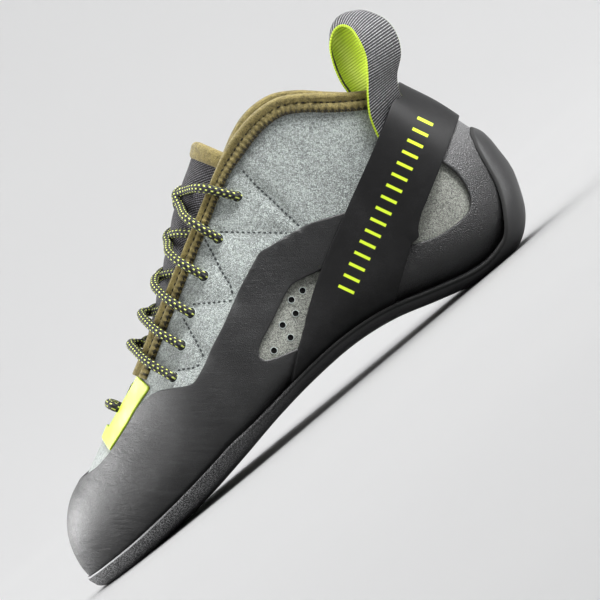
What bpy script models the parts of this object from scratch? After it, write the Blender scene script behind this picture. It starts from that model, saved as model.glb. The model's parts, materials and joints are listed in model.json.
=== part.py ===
"""Left climbing shoe with a downturned sole, laces and one pull loop.

The toe points along -X, the outer (lateral) side faces -Y and +Z is up. The shoe stands
on two flat spots of its sole, under the forefoot and under the heel, at z = 0. Every soft
layer is cut from one last: a closed form with superelliptic sections along the foot.
"""

import math
from collections import namedtuple

import bmesh
import bpy
from mathutils import Vector

# Driving sizes in metres
LENGTH = 0.252
BALL_WIDTH = 0.092
INSTEP_HEIGHT = 0.1194
HEEL_HEIGHT = 0.081
ARCH_RISE = 0.0132

WALL = 0.002
GAP = 0.0003
SOLE_THICKNESS = 0.004
SOLE_SIDE = 0.0031
SOLE_EDGE = 0.0075
SOLE_WAIST_EDGE = 0.0044
FLAT_DEPTH = 0.0012
RAND_THICKNESS = 0.0018
BAND_THICKNESS = 0.0015
PATCH_THICKNESS = 0.0008
INSOLE_THICKNESS = 0.0016
LASTING_MARGIN = 0.012
TONGUE_THICKNESS = 0.003
TONGUE_UNDERLAP = 0.009
TONGUE_TAPE = 0.0065
TAPE_THICKNESS = 0.001
THROAT_TAPE = 0.0045
COLLAR_TAPE = 0.007
LACE_DIAMETER = 0.0038
LOOP_WIDTH = 0.020
LOOP_THICKNESS = 0.0014
LOOP_HEIGHT = 0.0325
LOOP_SPREAD = 0.022
COLLAR_REAR_RADIUS = 0.030
LOOP_CLEARANCE = 0.0018
BAND_LAP = 0.003
BAND_MARGIN = 0.0005
TAPE_BLEND = 0.02
TAPE_LEAD = 0.012

# How finely the shapes are divided, and how far cutting regions reach
STATIONS = 24
ROUND = 20
CORD_SIDES = 5
LACE_STEPS = 7
LOOP_STEPS = 24
UNDERSIDE_STEPS = 14
REACH = 0.1
SPACING = 0.0012
NORMAL_STEP = 0.004

# Shares that shape the last, the underside's opening and the lace
HEIGHT_BLEND_START = 0.6
HEIGHT_BLEND_LENGTH = 0.3
OPENING_START = 0.06
OPENING_END = 0.94
SOLE_SQUARENESS = 2.0
LACE_RAMP = 0.32

LIFT = SOLE_THICKNESS + GAP
LAST_LENGTH = LENGTH - 2 * SOLE_SIDE
LAST_WIDTH = BALL_WIDTH - 2 * SOLE_SIDE
RAND_OUTSIDE = GAP + RAND_THICKNESS
BAND_INSIDE = RAND_OUTSIDE + GAP

# Sections of the last, toe to heel. along is a share of the last's length, centre, half
# and ridge are shares of its width, arch of ARCH_RISE, bottom and top of the height unit.
Section = namedtuple("Section", "along centre half arch bottom top waist low high ridge")
SECTIONS = [
    Section(0.000, 0.152, 0.000, 0.00, 0.056, 0.056, 0.50, 2.6, 2.2, 0.152),
    Section(0.004, 0.152, 0.068, 0.00, 0.023, 0.111, 0.40, 2.7, 2.2, 0.152),
    Section(0.012, 0.149, 0.128, 0.00, 0.012, 0.161, 0.38, 2.8, 2.2, 0.152),
    Section(0.028, 0.142, 0.203, 0.00, 0.005, 0.215, 0.32, 3.0, 2.2, 0.152),
    Section(0.057, 0.126, 0.283, 0.00, 0.001, 0.270, 0.30, 3.2, 2.2, 0.150),
    Section(0.101, 0.100, 0.364, 0.04, 0.000, 0.312, 0.28, 3.4, 2.1, 0.138),
    Section(0.166, 0.065, 0.436, 0.13, 0.000, 0.377, 0.25, 3.4, 1.85, 0.110),
    Section(0.248, 0.026, 0.479, 0.28, 0.000, 0.469, 0.21, 3.4, 1.7, 0.078),
    Section(0.337, -0.009, 0.492, 0.55, 0.000, 0.599, 0.18, 3.4, 1.7, 0.050),
    Section(0.427, -0.026, 0.459, 0.84, 0.000, 0.739, 0.16, 3.3, 1.8, 0.028),
    Section(0.516, -0.035, 0.399, 1.02, 0.000, 0.887, 0.15, 3.1, 2.0, 0.012),
    Section(0.606, -0.033, 0.354, 1.06, 0.000, 1.013, 0.155, 3.0, 2.1, 0.000),
    Section(0.687, -0.022, 0.337, 0.86, 0.000, 1.226, 0.16, 3.0, 2.5, 0.000),
    Section(0.768, -0.010, 0.336, 0.41, 0.000, 1.509, 0.165, 3.0, 2.8, 0.000),
    Section(0.834, -0.003, 0.336, 0.08, 0.000, 1.641, 0.175, 3.0, 2.7, 0.000),
    Section(0.891, 0.000, 0.318, 0.00, 0.000, 1.397, 0.22, 2.8, 2.4, 0.000),
    Section(0.935, 0.000, 0.272, 0.00, 0.030, 1.021, 0.30, 2.5, 2.2, 0.000),
    Section(0.968, 0.000, 0.198, 0.00, 0.120, 0.786, 0.38, 2.2, 2.1, 0.000),
    Section(0.988, 0.000, 0.117, 0.00, 0.249, 0.589, 0.45, 2.0, 2.0, 0.000),
    Section(1.000, 0.000, 0.000, 0.00, 0.416, 0.416, 0.50, 2.0, 2.0, 0.000),
]

# Side view outlines: along is a share of LENGTH, up a share of the height unit
Place = namedtuple("Place", "along up")
THROAT_EDGE = [
    Place(0.194, 0.401), Place(0.238, 0.436), Place(0.287, 0.477),
    Place(0.397, 0.604), Place(0.516, 0.741), Place(0.603, 0.842),
]
COLLAR_EDGE = [
    Place(0.636, 0.888), Place(0.667, 0.940), Place(0.706, 1.011), Place(0.742, 1.077),
    Place(0.770, 1.117), Place(0.802, 1.132), Place(0.833, 1.119), Place(0.865, 1.094),
    Place(0.897, 1.052), Place(0.929, 1.004), Place(0.968, 0.959), Place(1.040, 0.880),
]
RAND_TOP = [
    Place(-0.024, 0.328), Place(0.107, 0.323), Place(0.139, 0.321), Place(0.177, 0.335),
    Place(0.223, 0.366), Place(0.253, 0.386), Place(0.279, 0.396), Place(0.300, 0.391),
    Place(0.319, 0.372), Place(0.337, 0.350), Place(0.351, 0.338), Place(0.363, 0.341),
    Place(0.387, 0.363), Place(0.417, 0.392), Place(0.460, 0.430), Place(0.505, 0.478),
    Place(0.558, 0.524), Place(0.579, 0.539), Place(0.599, 0.532), Place(0.635, 0.528),
    Place(0.671, 0.530), Place(0.702, 0.525), Place(0.738, 0.520),
]
BAND_FRONT = [
    Place(1.040, 1.170), Place(0.935, 0.999), Place(0.845, 0.813), Place(0.732, 0.526),
    Place(0.614, 0.324), Place(0.529, 0.194), Place(0.492, 0.130), Place(0.430, 0.020),
]
BAND_REAR = [
    Place(1.040, 0.750), Place(0.979, 0.665), Place(0.910, 0.552), Place(0.837, 0.408),
    Place(0.776, 0.267), Place(0.704, 0.117), Place(0.640, 0.000),
]
VENT_WINDOW = [
    Place(0.643, 0.357), Place(0.602, 0.373), Place(0.577, 0.375), Place(0.521, 0.324),
    Place(0.480, 0.287), Place(0.468, 0.255), Place(0.478, 0.229), Place(0.534, 0.187),
]
HEEL_WINDOW = [
    Place(0.907, 0.568), Place(0.915, 0.477), Place(0.915, 0.395), Place(0.908, 0.322),
    Place(0.896, 0.278), Place(0.882, 0.260), Place(0.859, 0.252), Place(0.823, 0.251),
    Place(0.772, 0.276),
]
HEEL_WRAP = [
    Place(0.895, 0.022), Place(0.914, 0.057), Place(0.935, 0.144), Place(0.947, 0.210),
    Place(0.956, 0.283), Place(0.962, 0.375), Place(0.968, 0.469), Place(0.974, 0.522),
    Place(0.987, 0.590), Place(1.040, 0.660),
]
PATCH_LOWER = [Place(0.171, 0.340), Place(0.291, 0.430)]
TONGUE_END = Place(0.612, 1.000)
# Lace holes of the outer side, top to bottom
EYELETS = [
    Place(0.608, 0.740), Place(0.539, 0.668), Place(0.481, 0.599), Place(0.425, 0.528),
    Place(0.379, 0.461), Place(0.335, 0.394), Place(0.229, 0.421),
]
# Height of the sole's edge along the foot: share of LENGTH, share of SOLE_EDGE or waist edge
Edge = namedtuple("Edge", "along front waist")
SOLE_EDGES = [
    Edge(-0.040, 1.0, 0.0), Edge(0.000, 1.0, 0.0), Edge(0.100, 1.0, 0.0),
    Edge(0.200, 1.0, 0.0), Edge(0.290, 1.0, 0.0), Edge(0.340, 0.95, 0.0),
    Edge(0.390, 0.35, 0.60), Edge(0.440, 0.0, 1.0), Edge(0.520, 0.0, 1.0),
    Edge(0.600, 0.0, 1.0), Edge(0.680, 0.0, 1.0), Edge(0.760, 0.0, 0.95),
    Edge(0.820, 0.0, 0.9), Edge(0.861, 0.0, 0.9),
]


def clear_scene():
    for item in list(bpy.data.objects):
        bpy.data.objects.remove(item, do_unlink=True)


def blend(start, end, share):
    """Smooth step of share, from start to end."""
    share = min(1.0, max(0.0, share))
    return start + (end - start) * share * share * (3 - 2 * share)


def height_unit(along):
    """What heights are shares of: the instep in front, the heel behind."""
    share = (along - HEIGHT_BLEND_START) / HEIGHT_BLEND_LENGTH
    return blend(INSTEP_HEIGHT, HEEL_HEIGHT, share)


def side_point(place):
    """A side view place as (x, z) in metres."""
    return Vector(((place.along - 0.5) * LENGTH, LIFT + place.up * height_unit(place.along)))


def cubic(knots, values, at):
    """Smooth curve through values at the knots, read at one place."""
    last = len(knots) - 1
    i = 0
    while i < last - 1 and at > knots[i + 1]:
        i += 1

    def slope(j):
        a, b = max(j - 1, 0), min(j + 1, last)
        return (values[b] - values[a]) / (knots[b] - knots[a])

    width = knots[i + 1] - knots[i]
    t = (at - knots[i]) / width
    start, end = values[i], values[i + 1]
    rise_in, rise_out = slope(i) * width, slope(i + 1) * width
    return (
        start * (1 + 2 * t) * (1 - t) ** 2
        + end * t * t * (3 - 2 * t)
        + rise_in * t * (1 - t) ** 2
        - rise_out * t * t * (1 - t)
    )


def turn_of(along):
    """Angle whose cosine spaces stations closely at toe and heel."""
    return math.acos(1 - 2 * min(1.0, max(0.0, along)))


KNOTS = [turn_of(row.along) for row in SECTIONS]


def section_at(turn):
    """The last's section at one turn, in metres where the table holds shares."""
    row = Section(*(cubic(KNOTS, column, turn) for column in zip(*SECTIONS)))
    along = (1 - math.cos(turn)) / 2
    x = (along - 0.5) * LAST_LENGTH
    unit = height_unit(x / LENGTH + 0.5)
    return Section(
        along=x,
        centre=row.centre * LAST_WIDTH,
        half=max(0.0, row.half) * LAST_WIDTH,
        arch=LIFT + row.arch * ARCH_RISE,
        bottom=LIFT + row.arch * ARCH_RISE + row.bottom * unit,
        top=LIFT + row.top * unit,
        waist=row.waist,
        low=row.low,
        high=row.high,
        ridge=row.ridge * LAST_WIDTH,
    )


def power(value, exponent):
    return math.copysign(abs(value) ** exponent, value)


def last_point(turn, angle, square=0.0):
    """A point of the last. angle 0 is the outer side, a quarter turn the ridge."""
    row = section_at(turn)
    waist = row.bottom + (row.top - row.bottom) * row.waist
    across, upward = math.cos(angle), math.sin(angle)
    if upward >= 0:
        bend, height = row.high, row.top - waist
    else:
        bend, height = row.low + square, waist - row.bottom
    rise = power(upward, 2 / bend)
    y = row.centre - row.half * power(across, 2 / bend)
    if upward > 0:
        y += (row.ridge - row.centre) * rise * rise
    return Vector((row.along, y, waist + height * rise))


def last_normal(turn, angle, square=0.0):
    """Outward direction of the last."""
    step = NORMAL_STEP
    turn = min(math.pi - 2 * step, max(2 * step, turn))
    lengthwise = last_point(turn + step, angle, square) - last_point(turn - step, angle, square)
    around = last_point(turn, angle + step, square) - last_point(turn, angle - step, square)
    return lengthwise.cross(around).normalized()


def grown_point(turn, angle, grow, square=0.0):
    if turn <= 0 or turn >= math.pi:
        direction = Vector((-1 if turn <= 0 else 1, 0, 0))
        return last_point(turn, 0, square) + direction * grow
    return last_point(turn, angle, square) + last_normal(turn, angle, square) * grow


def material(name, colour, roughness):
    made = bpy.data.materials.new(name)
    made.use_nodes = True
    shader = made.node_tree.nodes["Principled BSDF"]
    shader.inputs["Base Color"].default_value = (*colour, 1)
    shader.inputs["Roughness"].default_value = roughness
    shader.inputs["Metallic"].default_value = 0.0
    return made


def finish_mesh(name, mesh):
    """Makes an object of a mesh, with its faces pointing out."""
    bmesh.ops.recalc_face_normals(mesh, faces=mesh.faces)
    data = bpy.data.meshes.new(name)
    mesh.to_mesh(data)
    mesh.free()
    made = bpy.data.objects.new(name, data)
    bpy.context.scene.collection.objects.link(made)
    return made


def form(name, grow, square=0.0, drop=0.0):
    """The last grown by a distance, as one closed mesh of like triangles."""
    mesh = bmesh.new()
    toe = mesh.verts.new(grown_point(0, 0, grow, square))
    heel = mesh.verts.new(grown_point(math.pi, 0, grow, square))
    rings = []
    for i in range(1, STATIONS):
        turn = math.pi * i / STATIONS
        ring = []
        for j in range(ROUND):
            angle = 2 * math.pi * j / ROUND
            point = grown_point(turn, angle, grow, square)
            if drop:
                point.z = max(0.0, point.z + drop * min(0.0, math.sin(angle)))
            ring.append(mesh.verts.new(point))
        rings.append(ring)
    for j in range(ROUND):
        k = (j + 1) % ROUND
        mesh.faces.new((toe, rings[0][k], rings[0][j]))
        mesh.faces.new((heel, rings[-1][j], rings[-1][k]))
        for near, far in zip(rings, rings[1:]):
            mesh.faces.new((near[j], near[k], far[k]))
            mesh.faces.new((near[j], far[k], far[j]))
    return finish_mesh(name, mesh)


def prism(name, outline):
    """A side view outline carried right across the shoe."""
    mesh = bmesh.new()
    near = [mesh.verts.new((x, -REACH, z)) for x, z in outline]
    far = [mesh.verts.new((x, REACH, z)) for x, z in outline]
    mesh.faces.new(near)
    mesh.faces.new(far[::-1])
    for i in range(len(outline)):
        j = (i + 1) % len(outline)
        mesh.faces.new((near[i], far[i], far[j], near[j]))
    return finish_mesh(name, mesh)


def combine(target, other, operation):
    """Applies one Boolean to target and drops the other object."""
    change = target.modifiers.new("combine", "BOOLEAN")
    change.operation = operation
    change.solver = "EXACT"
    change.object = other
    bpy.context.view_layer.update()
    graph = bpy.context.evaluated_depsgraph_get()
    result = bpy.data.meshes.new_from_object(target.evaluated_get(graph))
    target.modifiers.clear()
    target.data = result
    bpy.data.objects.remove(other, do_unlink=True)
    return target


def dress(target, surface, smooth_angle=40):
    """Gives a finished piece its material and smooth shading."""
    target.data.materials.clear()
    target.data.materials.append(surface)
    target.data.shade_smooth()
    target.data.set_sharp_from_angle(angle=math.radians(smooth_angle))
    return target


def shell(name, inside, outside):
    """The layer between two distances from the last."""
    return combine(form(name, outside), form(name + "_inside", inside), "DIFFERENCE")


def line(places):
    return [side_point(place) for place in places]


def curve(places, per_span=3):
    """A smooth line through side view places."""
    points = line(places)
    knots = list(range(len(points)))
    xs, zs = [p.x for p in points], [p.y for p in points]
    count = (len(points) - 1) * per_span
    steps = [knots[-1] * i / count for i in range(count + 1)]
    return [Vector((cubic(knots, xs, at), cubic(knots, zs, at))) for at in steps]


def shifted(points, distance):
    """A line moved sideways, to the left of its own direction."""
    moved = []
    for i, point in enumerate(points):
        ahead = points[min(i + 1, len(points) - 1)] - points[max(i - 1, 0)]
        across = Vector((-ahead.y, ahead.x)).normalized()
        moved.append(point + across * distance)
    return moved


def sole_line():
    """Top of the sole's edge: along the bottom, then up the back of the heel."""
    points = []
    for edge in SOLE_EDGES:
        x = (edge.along - 0.5) * LENGTH
        inside = min(LAST_LENGTH / 2, max(-LAST_LENGTH / 2, x))
        row = section_at(turn_of(inside / LAST_LENGTH + 0.5))
        rise = edge.front * SOLE_EDGE + edge.waist * SOLE_WAIST_EDGE
        points.append(Vector((x, row.arch - LIFT + rise)))
    return points + line(HEEL_WRAP)


def top_line():
    """Edge of the throat and collar, toe end to heel."""
    return line(THROAT_EDGE + COLLAR_EDGE)


def hem_line(extra=0.0):
    """Lower edge of the folded tape, narrow on the throat and wide on the collar."""
    points = top_line()
    corner = side_point(COLLAR_EDGE[0]).x
    moved = []
    for i, point in enumerate(points):
        ahead = points[min(i + 1, len(points) - 1)] - points[max(i - 1, 0)]
        across = Vector((ahead.y, -ahead.x)).normalized()
        width = blend(THROAT_TAPE, COLLAR_TAPE, (point.x - corner + TAPE_LEAD) / TAPE_BLEND)
        moved.append(point + across * (width + extra))
    return moved


def above(points):
    """Closes a line into the region over it."""
    roof = INSTEP_HEIGHT * 2
    return points + [Vector((points[-1].x, roof)), Vector((points[0].x, roof))]


def below(points):
    ground = -INSTEP_HEIGHT
    return points + [Vector((points[-1].x, ground)), Vector((points[0].x, ground))]


def make_upper(surface):
    upper = shell("upper", -WALL, 0.0)
    combine(upper, prism("opening", above(top_line())), "DIFFERENCE")
    combine(upper, underside_opening(), "DIFFERENCE")
    return dress(upper, surface)


def underside_opening():
    """What the lasting margin leaves open under the foot, closed by the sole."""
    mesh = bmesh.new()
    rings = []
    for i in range(UNDERSIDE_STEPS + 1):
        along = OPENING_START + (OPENING_END - OPENING_START) * i / UNDERSIDE_STEPS
        row = section_at(turn_of(along))
        half = row.half - LASTING_MARGIN
        top, ground = row.bottom + 2 * WALL + GAP, -SOLE_THICKNESS
        corners = [(-half, ground), (half, ground), (half, top), (-half, top)]
        rings.append([mesh.verts.new((row.along, row.centre + y, z)) for y, z in corners])
    mesh.faces.new(rings[0])
    mesh.faces.new(rings[-1])
    for near, far in zip(rings, rings[1:]):
        for j in range(4):
            k = (j + 1) % 4
            mesh.faces.new((near[j], near[k], far[k], far[j]))
    return finish_mesh("underside_opening", mesh)


def make_outsole(surface):
    drop = LIFT - SOLE_SIDE + FLAT_DEPTH
    outsole = form("outsole", SOLE_SIDE, square=SOLE_SQUARENESS, drop=drop)
    combine(outsole, form("foot", GAP), "DIFFERENCE")
    combine(outsole, prism("sole_region", below(sole_line())), "INTERSECT")
    return dress(outsole, surface)


def make_insole(surface):
    """Board on the upper's lasted-in margin, level with the arch."""
    insole = form("insole", -WALL - GAP)
    height = WALL + GAP + INSOLE_THICKNESS
    top = []
    for i in range(UNDERSIDE_STEPS + 1):
        row = section_at(turn_of(i / UNDERSIDE_STEPS))
        top.append(Vector((row.along, row.arch + height)))
    combine(insole, prism("insole_region", below(top)), "INTERSECT")
    return dress(insole, surface)


def tongue_skin():
    """Distance of the tongue's outer face from the last, under wall and tape."""
    return -WALL - TAPE_THICKNESS - 3 * GAP


def make_tongue(surface, tape):
    """The tongue, and the tape folded over its top edge."""
    low = shifted(line(THROAT_EDGE), -TONGUE_UNDERLAP)
    end = side_point(TONGUE_END)
    slope = (low[-1] - low[-3]).normalized()
    across = Vector((-slope.y, slope.x))
    roof = end + across * LOOP_HEIGHT
    base = end - across * across.dot(end - low[-1])

    def region(start, stop):
        """Between two distances back from the tongue's end."""
        return [base - slope * start, base - slope * stop, roof - slope * stop, roof - slope * start]

    stop = TONGUE_TAPE + GAP
    body = [p for p in low if p.x < (base - slope * stop).x - SPACING]
    body += [base - slope * stop, roof - slope * stop]
    body += [Vector((body[0].x, roof.y))]
    skin = tongue_skin()
    tongue = shell("tongue", skin - TONGUE_THICKNESS, skin)
    combine(tongue, prism("tongue_region", body), "INTERSECT")
    dress(tongue, surface)
    binding = shell("tongue_binding", skin - TONGUE_THICKNESS - TAPE_THICKNESS, skin)
    combine(binding, prism("tongue_tape", region(TONGUE_TAPE, 0.0)), "INTERSECT")
    dress(binding, tape)


def make_collar_binding(surface):
    """Tape folded over the edge of throat and collar, as a channel."""
    outside = GAP + TAPE_THICKNESS
    inside = -WALL - GAP - TAPE_THICKNESS
    start = side_point(THROAT_EDGE[2])
    along = (side_point(THROAT_EDGE[3]) - start).normalized()
    across = Vector((-along.y, along.x))
    start += along * SPACING
    lower_start, upper_start = start - across * THROAT_TAPE, start + across * outside
    hem = [p for p in hem_line() if p.x > lower_start.x + SPACING]
    crown = [p for p in shifted(top_line(), outside) if p.x > upper_start.x + SPACING]
    region = [lower_start] + hem + crown[::-1] + [upper_start]
    binding = shell("collar_binding", inside, outside)
    combine(binding, prism("tape_region", region), "INTERSECT")
    slot = shell("slot", -WALL - GAP, GAP)
    combine(slot, prism("slot_region", below(shifted(top_line(), GAP))), "INTERSECT")
    combine(binding, slot, "DIFFERENCE")
    return dress(binding, surface)


def make_patch(surface):
    """Strip round the foot of the throat, in one piece over the ridge."""
    lower = line(PATCH_LOWER)
    edge = line(THROAT_EDGE)
    roof = Vector((edge[0].x, INSTEP_HEIGHT))
    region = lower + [edge[2], edge[1], edge[0], roof, Vector((lower[0].x, INSTEP_HEIGHT))]
    patch = shell("throat_patch", GAP, GAP + PATCH_THICKNESS)
    combine(patch, prism("patch_region", region), "INTERSECT")
    return dress(patch, surface)


def rand_end(distance, bottom):
    """A line under the tension band, behind its front edge, down to the bottom line."""
    points = shifted(curve(BAND_FRONT, 2), distance)
    points = [p for p in points if p.x < side_point(RAND_TOP[-1]).x]
    points = [p for p in points if p.y > height_on(bottom, p.x) + GAP]
    foot = points[-1].x
    return points + [Vector((foot - GAP, height_on(bottom, foot - GAP)))]


def make_rand(surface):
    """Rubber round the toe and along the sides, up to the tension band."""
    bottom = shifted(sole_line(), GAP)
    end = rand_end(BAND_LAP, bottom)
    bottom = [p for p in bottom if p.x < end[-1].x - GAP]
    top = [p for p in line(RAND_TOP) if p.x < end[0].x]
    rand = shell("rand", GAP, RAND_OUTSIDE)
    combine(rand, prism("rand_region", top + end + bottom[::-1]), "INTERSECT")
    combine(rand, prism("vent_window", line(VENT_WINDOW)), "DIFFERENCE")
    return dress(rand, surface)


def make_heel_rand(surface):
    """Rubber round the heel cup, under the tension band and up to the collar's tape."""
    bottom = shifted(sole_line(), GAP)
    end = rand_end(BAND_LAP + GAP, bottom)
    bottom = [p for p in bottom if p.x > end[-1].x + GAP]
    hem = hem_line(GAP)
    front = [p for p in shifted(curve(BAND_FRONT, 2), BAND_MARGIN) if p.x > end[0].x + GAP]
    front = [p for p in front if p.y < height_on(hem, p.x) - GAP]
    top = [p for p in hem if p.x > front[0].x + GAP]
    region = end[::-1] + front[::-1] + top + bottom[::-1]
    heel = shell("heel_rand", GAP, RAND_OUTSIDE)
    combine(heel, prism("heel_rand_region", region), "INTERSECT")
    combine(heel, prism("heel_window", line(HEEL_WINDOW)), "DIFFERENCE")
    return dress(heel, surface)


def height_on(points, x):
    """Height of a line that runs along x."""
    for a, b in zip(points, points[1:]):
        if min(a.x, b.x) <= x <= max(a.x, b.x) and a.x != b.x:
            return a.y + (b.y - a.y) * (x - a.x) / (b.x - a.x)
    return points[-1].y if x > points[-1].x else points[0].y


def make_tension_band(surface):
    """Band from the arch up round the back of the heel, over both rands."""
    front, rear = curve(BAND_FRONT, 2), curve(BAND_REAR, 2)
    band = shell("tension_band", BAND_INSIDE, BAND_INSIDE + BAND_THICKNESS)
    combine(band, prism("band_region", front + rear[::-1]), "INTERSECT")
    ground = [p + Vector((0, GAP)) for p in sole_line()]
    combine(band, prism("band_foot", below(ground)), "DIFFERENCE")
    return dress(band, surface)


def surface_place(place, inner):
    """Turn and angle of the last at a side view place, on the outer or inner side."""
    target = side_point(place)
    turn = turn_of(target.x / LAST_LENGTH + 0.5)
    row = section_at(turn)
    waist = row.bottom + (row.top - row.bottom) * row.waist
    rise = min(1.0, max(0.0, (target.y - waist) / (row.top - waist)))
    angle = math.asin(rise ** (row.high / 2))
    return turn, math.pi - angle if inner else angle


def lace_strand(start, end, sunk=True):
    """One strand between lace holes of opposite sides: over the tape, sunk to the tongue."""
    over_tape = LACE_DIAMETER / 2 + TAPE_THICKNESS + 4 * GAP
    on_tongue = LACE_DIAMETER / 2 + 2 * GAP + tongue_skin() if sunk else over_tape
    points = []
    for i in range(LACE_STEPS + 1):
        share = i / LACE_STEPS
        turn = start[0] + (end[0] - start[0]) * share
        angle = start[1] + (end[1] - start[1]) * share
        clear = blend(on_tongue, over_tape, abs(share - 0.5) / LACE_RAMP)
        points.append(grown_point(turn, angle, clear))
    return points


def tube(name, points, diameter):
    """A closed cord through points."""
    mesh = bmesh.new()
    rings = []
    for i, point in enumerate(points):
        ahead = (points[min(i + 1, len(points) - 1)] - points[max(i - 1, 0)]).normalized()
        side = ahead.cross(Vector((0, 0, 1))).normalized()
        up = side.cross(ahead)
        ring = []
        for j in range(CORD_SIDES):
            angle = 2 * math.pi * j / CORD_SIDES
            offset = (side * math.cos(angle) + up * math.sin(angle)) * diameter / 2
            ring.append(mesh.verts.new(point + offset))
        rings.append(ring)
    mesh.faces.new(rings[0])
    mesh.faces.new(rings[-1])
    for near, far in zip(rings, rings[1:]):
        for j in range(CORD_SIDES):
            k = (j + 1) % CORD_SIDES
            mesh.faces.new((near[j], near[k], far[k], far[j]))
    return finish_mesh(name, mesh)


def make_lace(surface):
    """Crossings over the tongue and the lowest bar, joined in one solid."""
    outer = [surface_place(place, False) for place in EYELETS]
    inner = [surface_place(place, True) for place in EYELETS]
    routes = [(outer[-1], inner[-1], False)]
    for i in range(1, len(EYELETS)):
        sunk = i < len(EYELETS) - 1
        routes += [(outer[i], inner[i - 1], sunk), (inner[i], outer[i - 1], sunk)]
    lace = tube("lace", lace_strand(*routes[0]), LACE_DIAMETER)
    for number, route in enumerate(routes[1:]):
        strand = tube(f"strand_{number}", lace_strand(*route), LACE_DIAMETER)
        combine(lace, strand, "UNION")
    return dress(lace, surface)


# The pull loop's middle line: outward from the collar wall, as a share of LOOP_SPREAD,
# and up, as a share of LOOP_HEIGHT, from inside the collar over the top to the outside
LoopRow = namedtuple("LoopRow", "outward up")
LOOP_ROWS = [
    LoopRow(0.0, -0.22), LoopRow(-0.04, 0.04), LoopRow(-0.20, 0.30), LoopRow(-0.36, 0.58),
    LoopRow(-0.38, 0.80), LoopRow(-0.24, 0.95), LoopRow(0.02, 1.00), LoopRow(0.30, 0.94),
    LoopRow(0.46, 0.78), LoopRow(0.47, 0.58), LoopRow(0.28, 0.32), LoopRow(0.10, 0.12),
    LoopRow(0.02, 0.0),
]
LOOP_FRONT, LOOP_REAR = COLLAR_EDGE[7], COLLAR_EDGE[8]


def make_pull_loop(surface):
    """Webbing that straddles the collar's outer rear edge."""
    front = last_point(*surface_place(LOOP_FRONT, False))
    rear = last_point(*surface_place(LOOP_REAR, False))
    middle = Place(*((a + b) / 2 for a, b in zip(LOOP_FRONT, LOOP_REAR)))
    base = last_point(*surface_place(middle, False))
    tangent = (rear - front).normalized()
    outward = Vector((tangent.y, -tangent.x, 0)).normalized()
    upward = outward.cross(tangent)
    knots = list(range(len(LOOP_ROWS)))
    inner_foot = -WALL - TAPE_THICKNESS - 1.5 * LOOP_CLEARANCE - LOOP_THICKNESS / 2
    outer_foot = TAPE_THICKNESS + LOOP_CLEARANCE + LOOP_THICKNESS / 2
    bow = LOOP_WIDTH**2 / 8 / COLLAR_REAR_RADIUS

    def path(at):
        sideways = cubic(knots, [row.outward for row in LOOP_ROWS], at) * LOOP_SPREAD
        height = cubic(knots, [row.up for row in LOOP_ROWS], at) * LOOP_HEIGHT
        foot = blend(inner_foot - bow, outer_foot, at / knots[-1])
        return Vector((sideways + foot, height))

    centre = [path(knots[-1] * i / LOOP_STEPS) for i in range(LOOP_STEPS + 1)]
    mesh = bmesh.new()
    rings = []
    across = [-1.0, -0.5, 0.0, 0.5, 1.0]
    for i, point in enumerate(centre):
        ahead = centre[min(i + 1, LOOP_STEPS)] - centre[max(i - 1, 0)]
        normal = Vector((ahead.y, -ahead.x)).normalized()
        curl = bow * blend(1, 0, point.y / (LOOP_HEIGHT * 0.5))
        ring = []
        for side in (1, -1):
            for share in across[::side]:
                flat = point + normal * side * LOOP_THICKNESS / 2
                flat.x += curl * (1 - share * share) - (curl if point.x > 0 else 0)
                place = base + outward * flat.x + upward * flat.y
                ring.append(mesh.verts.new(place + tangent * share * LOOP_WIDTH / 2))
        rings.append(ring)
    mesh.faces.new(rings[0])
    mesh.faces.new(rings[-1])
    for near, far in zip(rings, rings[1:]):
        for j in range(len(near)):
            k = (j + 1) % len(near)
            mesh.faces.new((near[j], near[k], far[k], far[j]))
    return dress(finish_mesh("pull_loop", mesh), surface)


def main():
    clear_scene()
    suede = material("grey_suede", (0.30, 0.33, 0.32), 0.9)
    rubber = material("black_rubber", (0.04, 0.04, 0.042), 0.5)
    band_rubber = material("band_rubber", (0.028, 0.028, 0.03), 0.55)
    sole_rubber = material("sole_rubber", (0.05, 0.05, 0.052), 0.6)
    tape = material("olive_tape", (0.28, 0.24, 0.12), 0.8)
    woven = material("dark_weave", (0.045, 0.042, 0.05), 0.85)
    lime = material("lime_strip", (0.60, 0.74, 0.04), 0.45)
    cord = material("lace_cord", (0.03, 0.03, 0.03), 0.8)
    webbing = material("loop_webbing", (0.10, 0.12, 0.08), 0.8)
    board = material("insole_board", (0.25, 0.25, 0.24), 0.9)
    make_upper(suede)
    make_outsole(sole_rubber)
    make_insole(board)
    make_tongue(woven, tape)
    make_collar_binding(tape)
    make_patch(lime)
    make_rand(rubber)
    make_heel_rand(rubber)
    make_tension_band(band_rubber)
    make_lace(cord)
    make_pull_loop(webbing)


main()
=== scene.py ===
"""Looks of a left climbing shoe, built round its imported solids.

The toe points along -X, the outer side faces -Y and +Z is up, in metres. Every layer is
drawn on one last, the form of the foot, at its own height over it: a place on the last is
a turn along the foot and an angle round it. Side view outlines say where a layer ends.
"""

import json
import math
from collections import namedtuple

import bmesh
import bpy
import numpy as np
from bpy.props import FloatProperty, FloatVectorProperty, IntProperty, PointerProperty
from mathutils import Matrix, Vector

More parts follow.
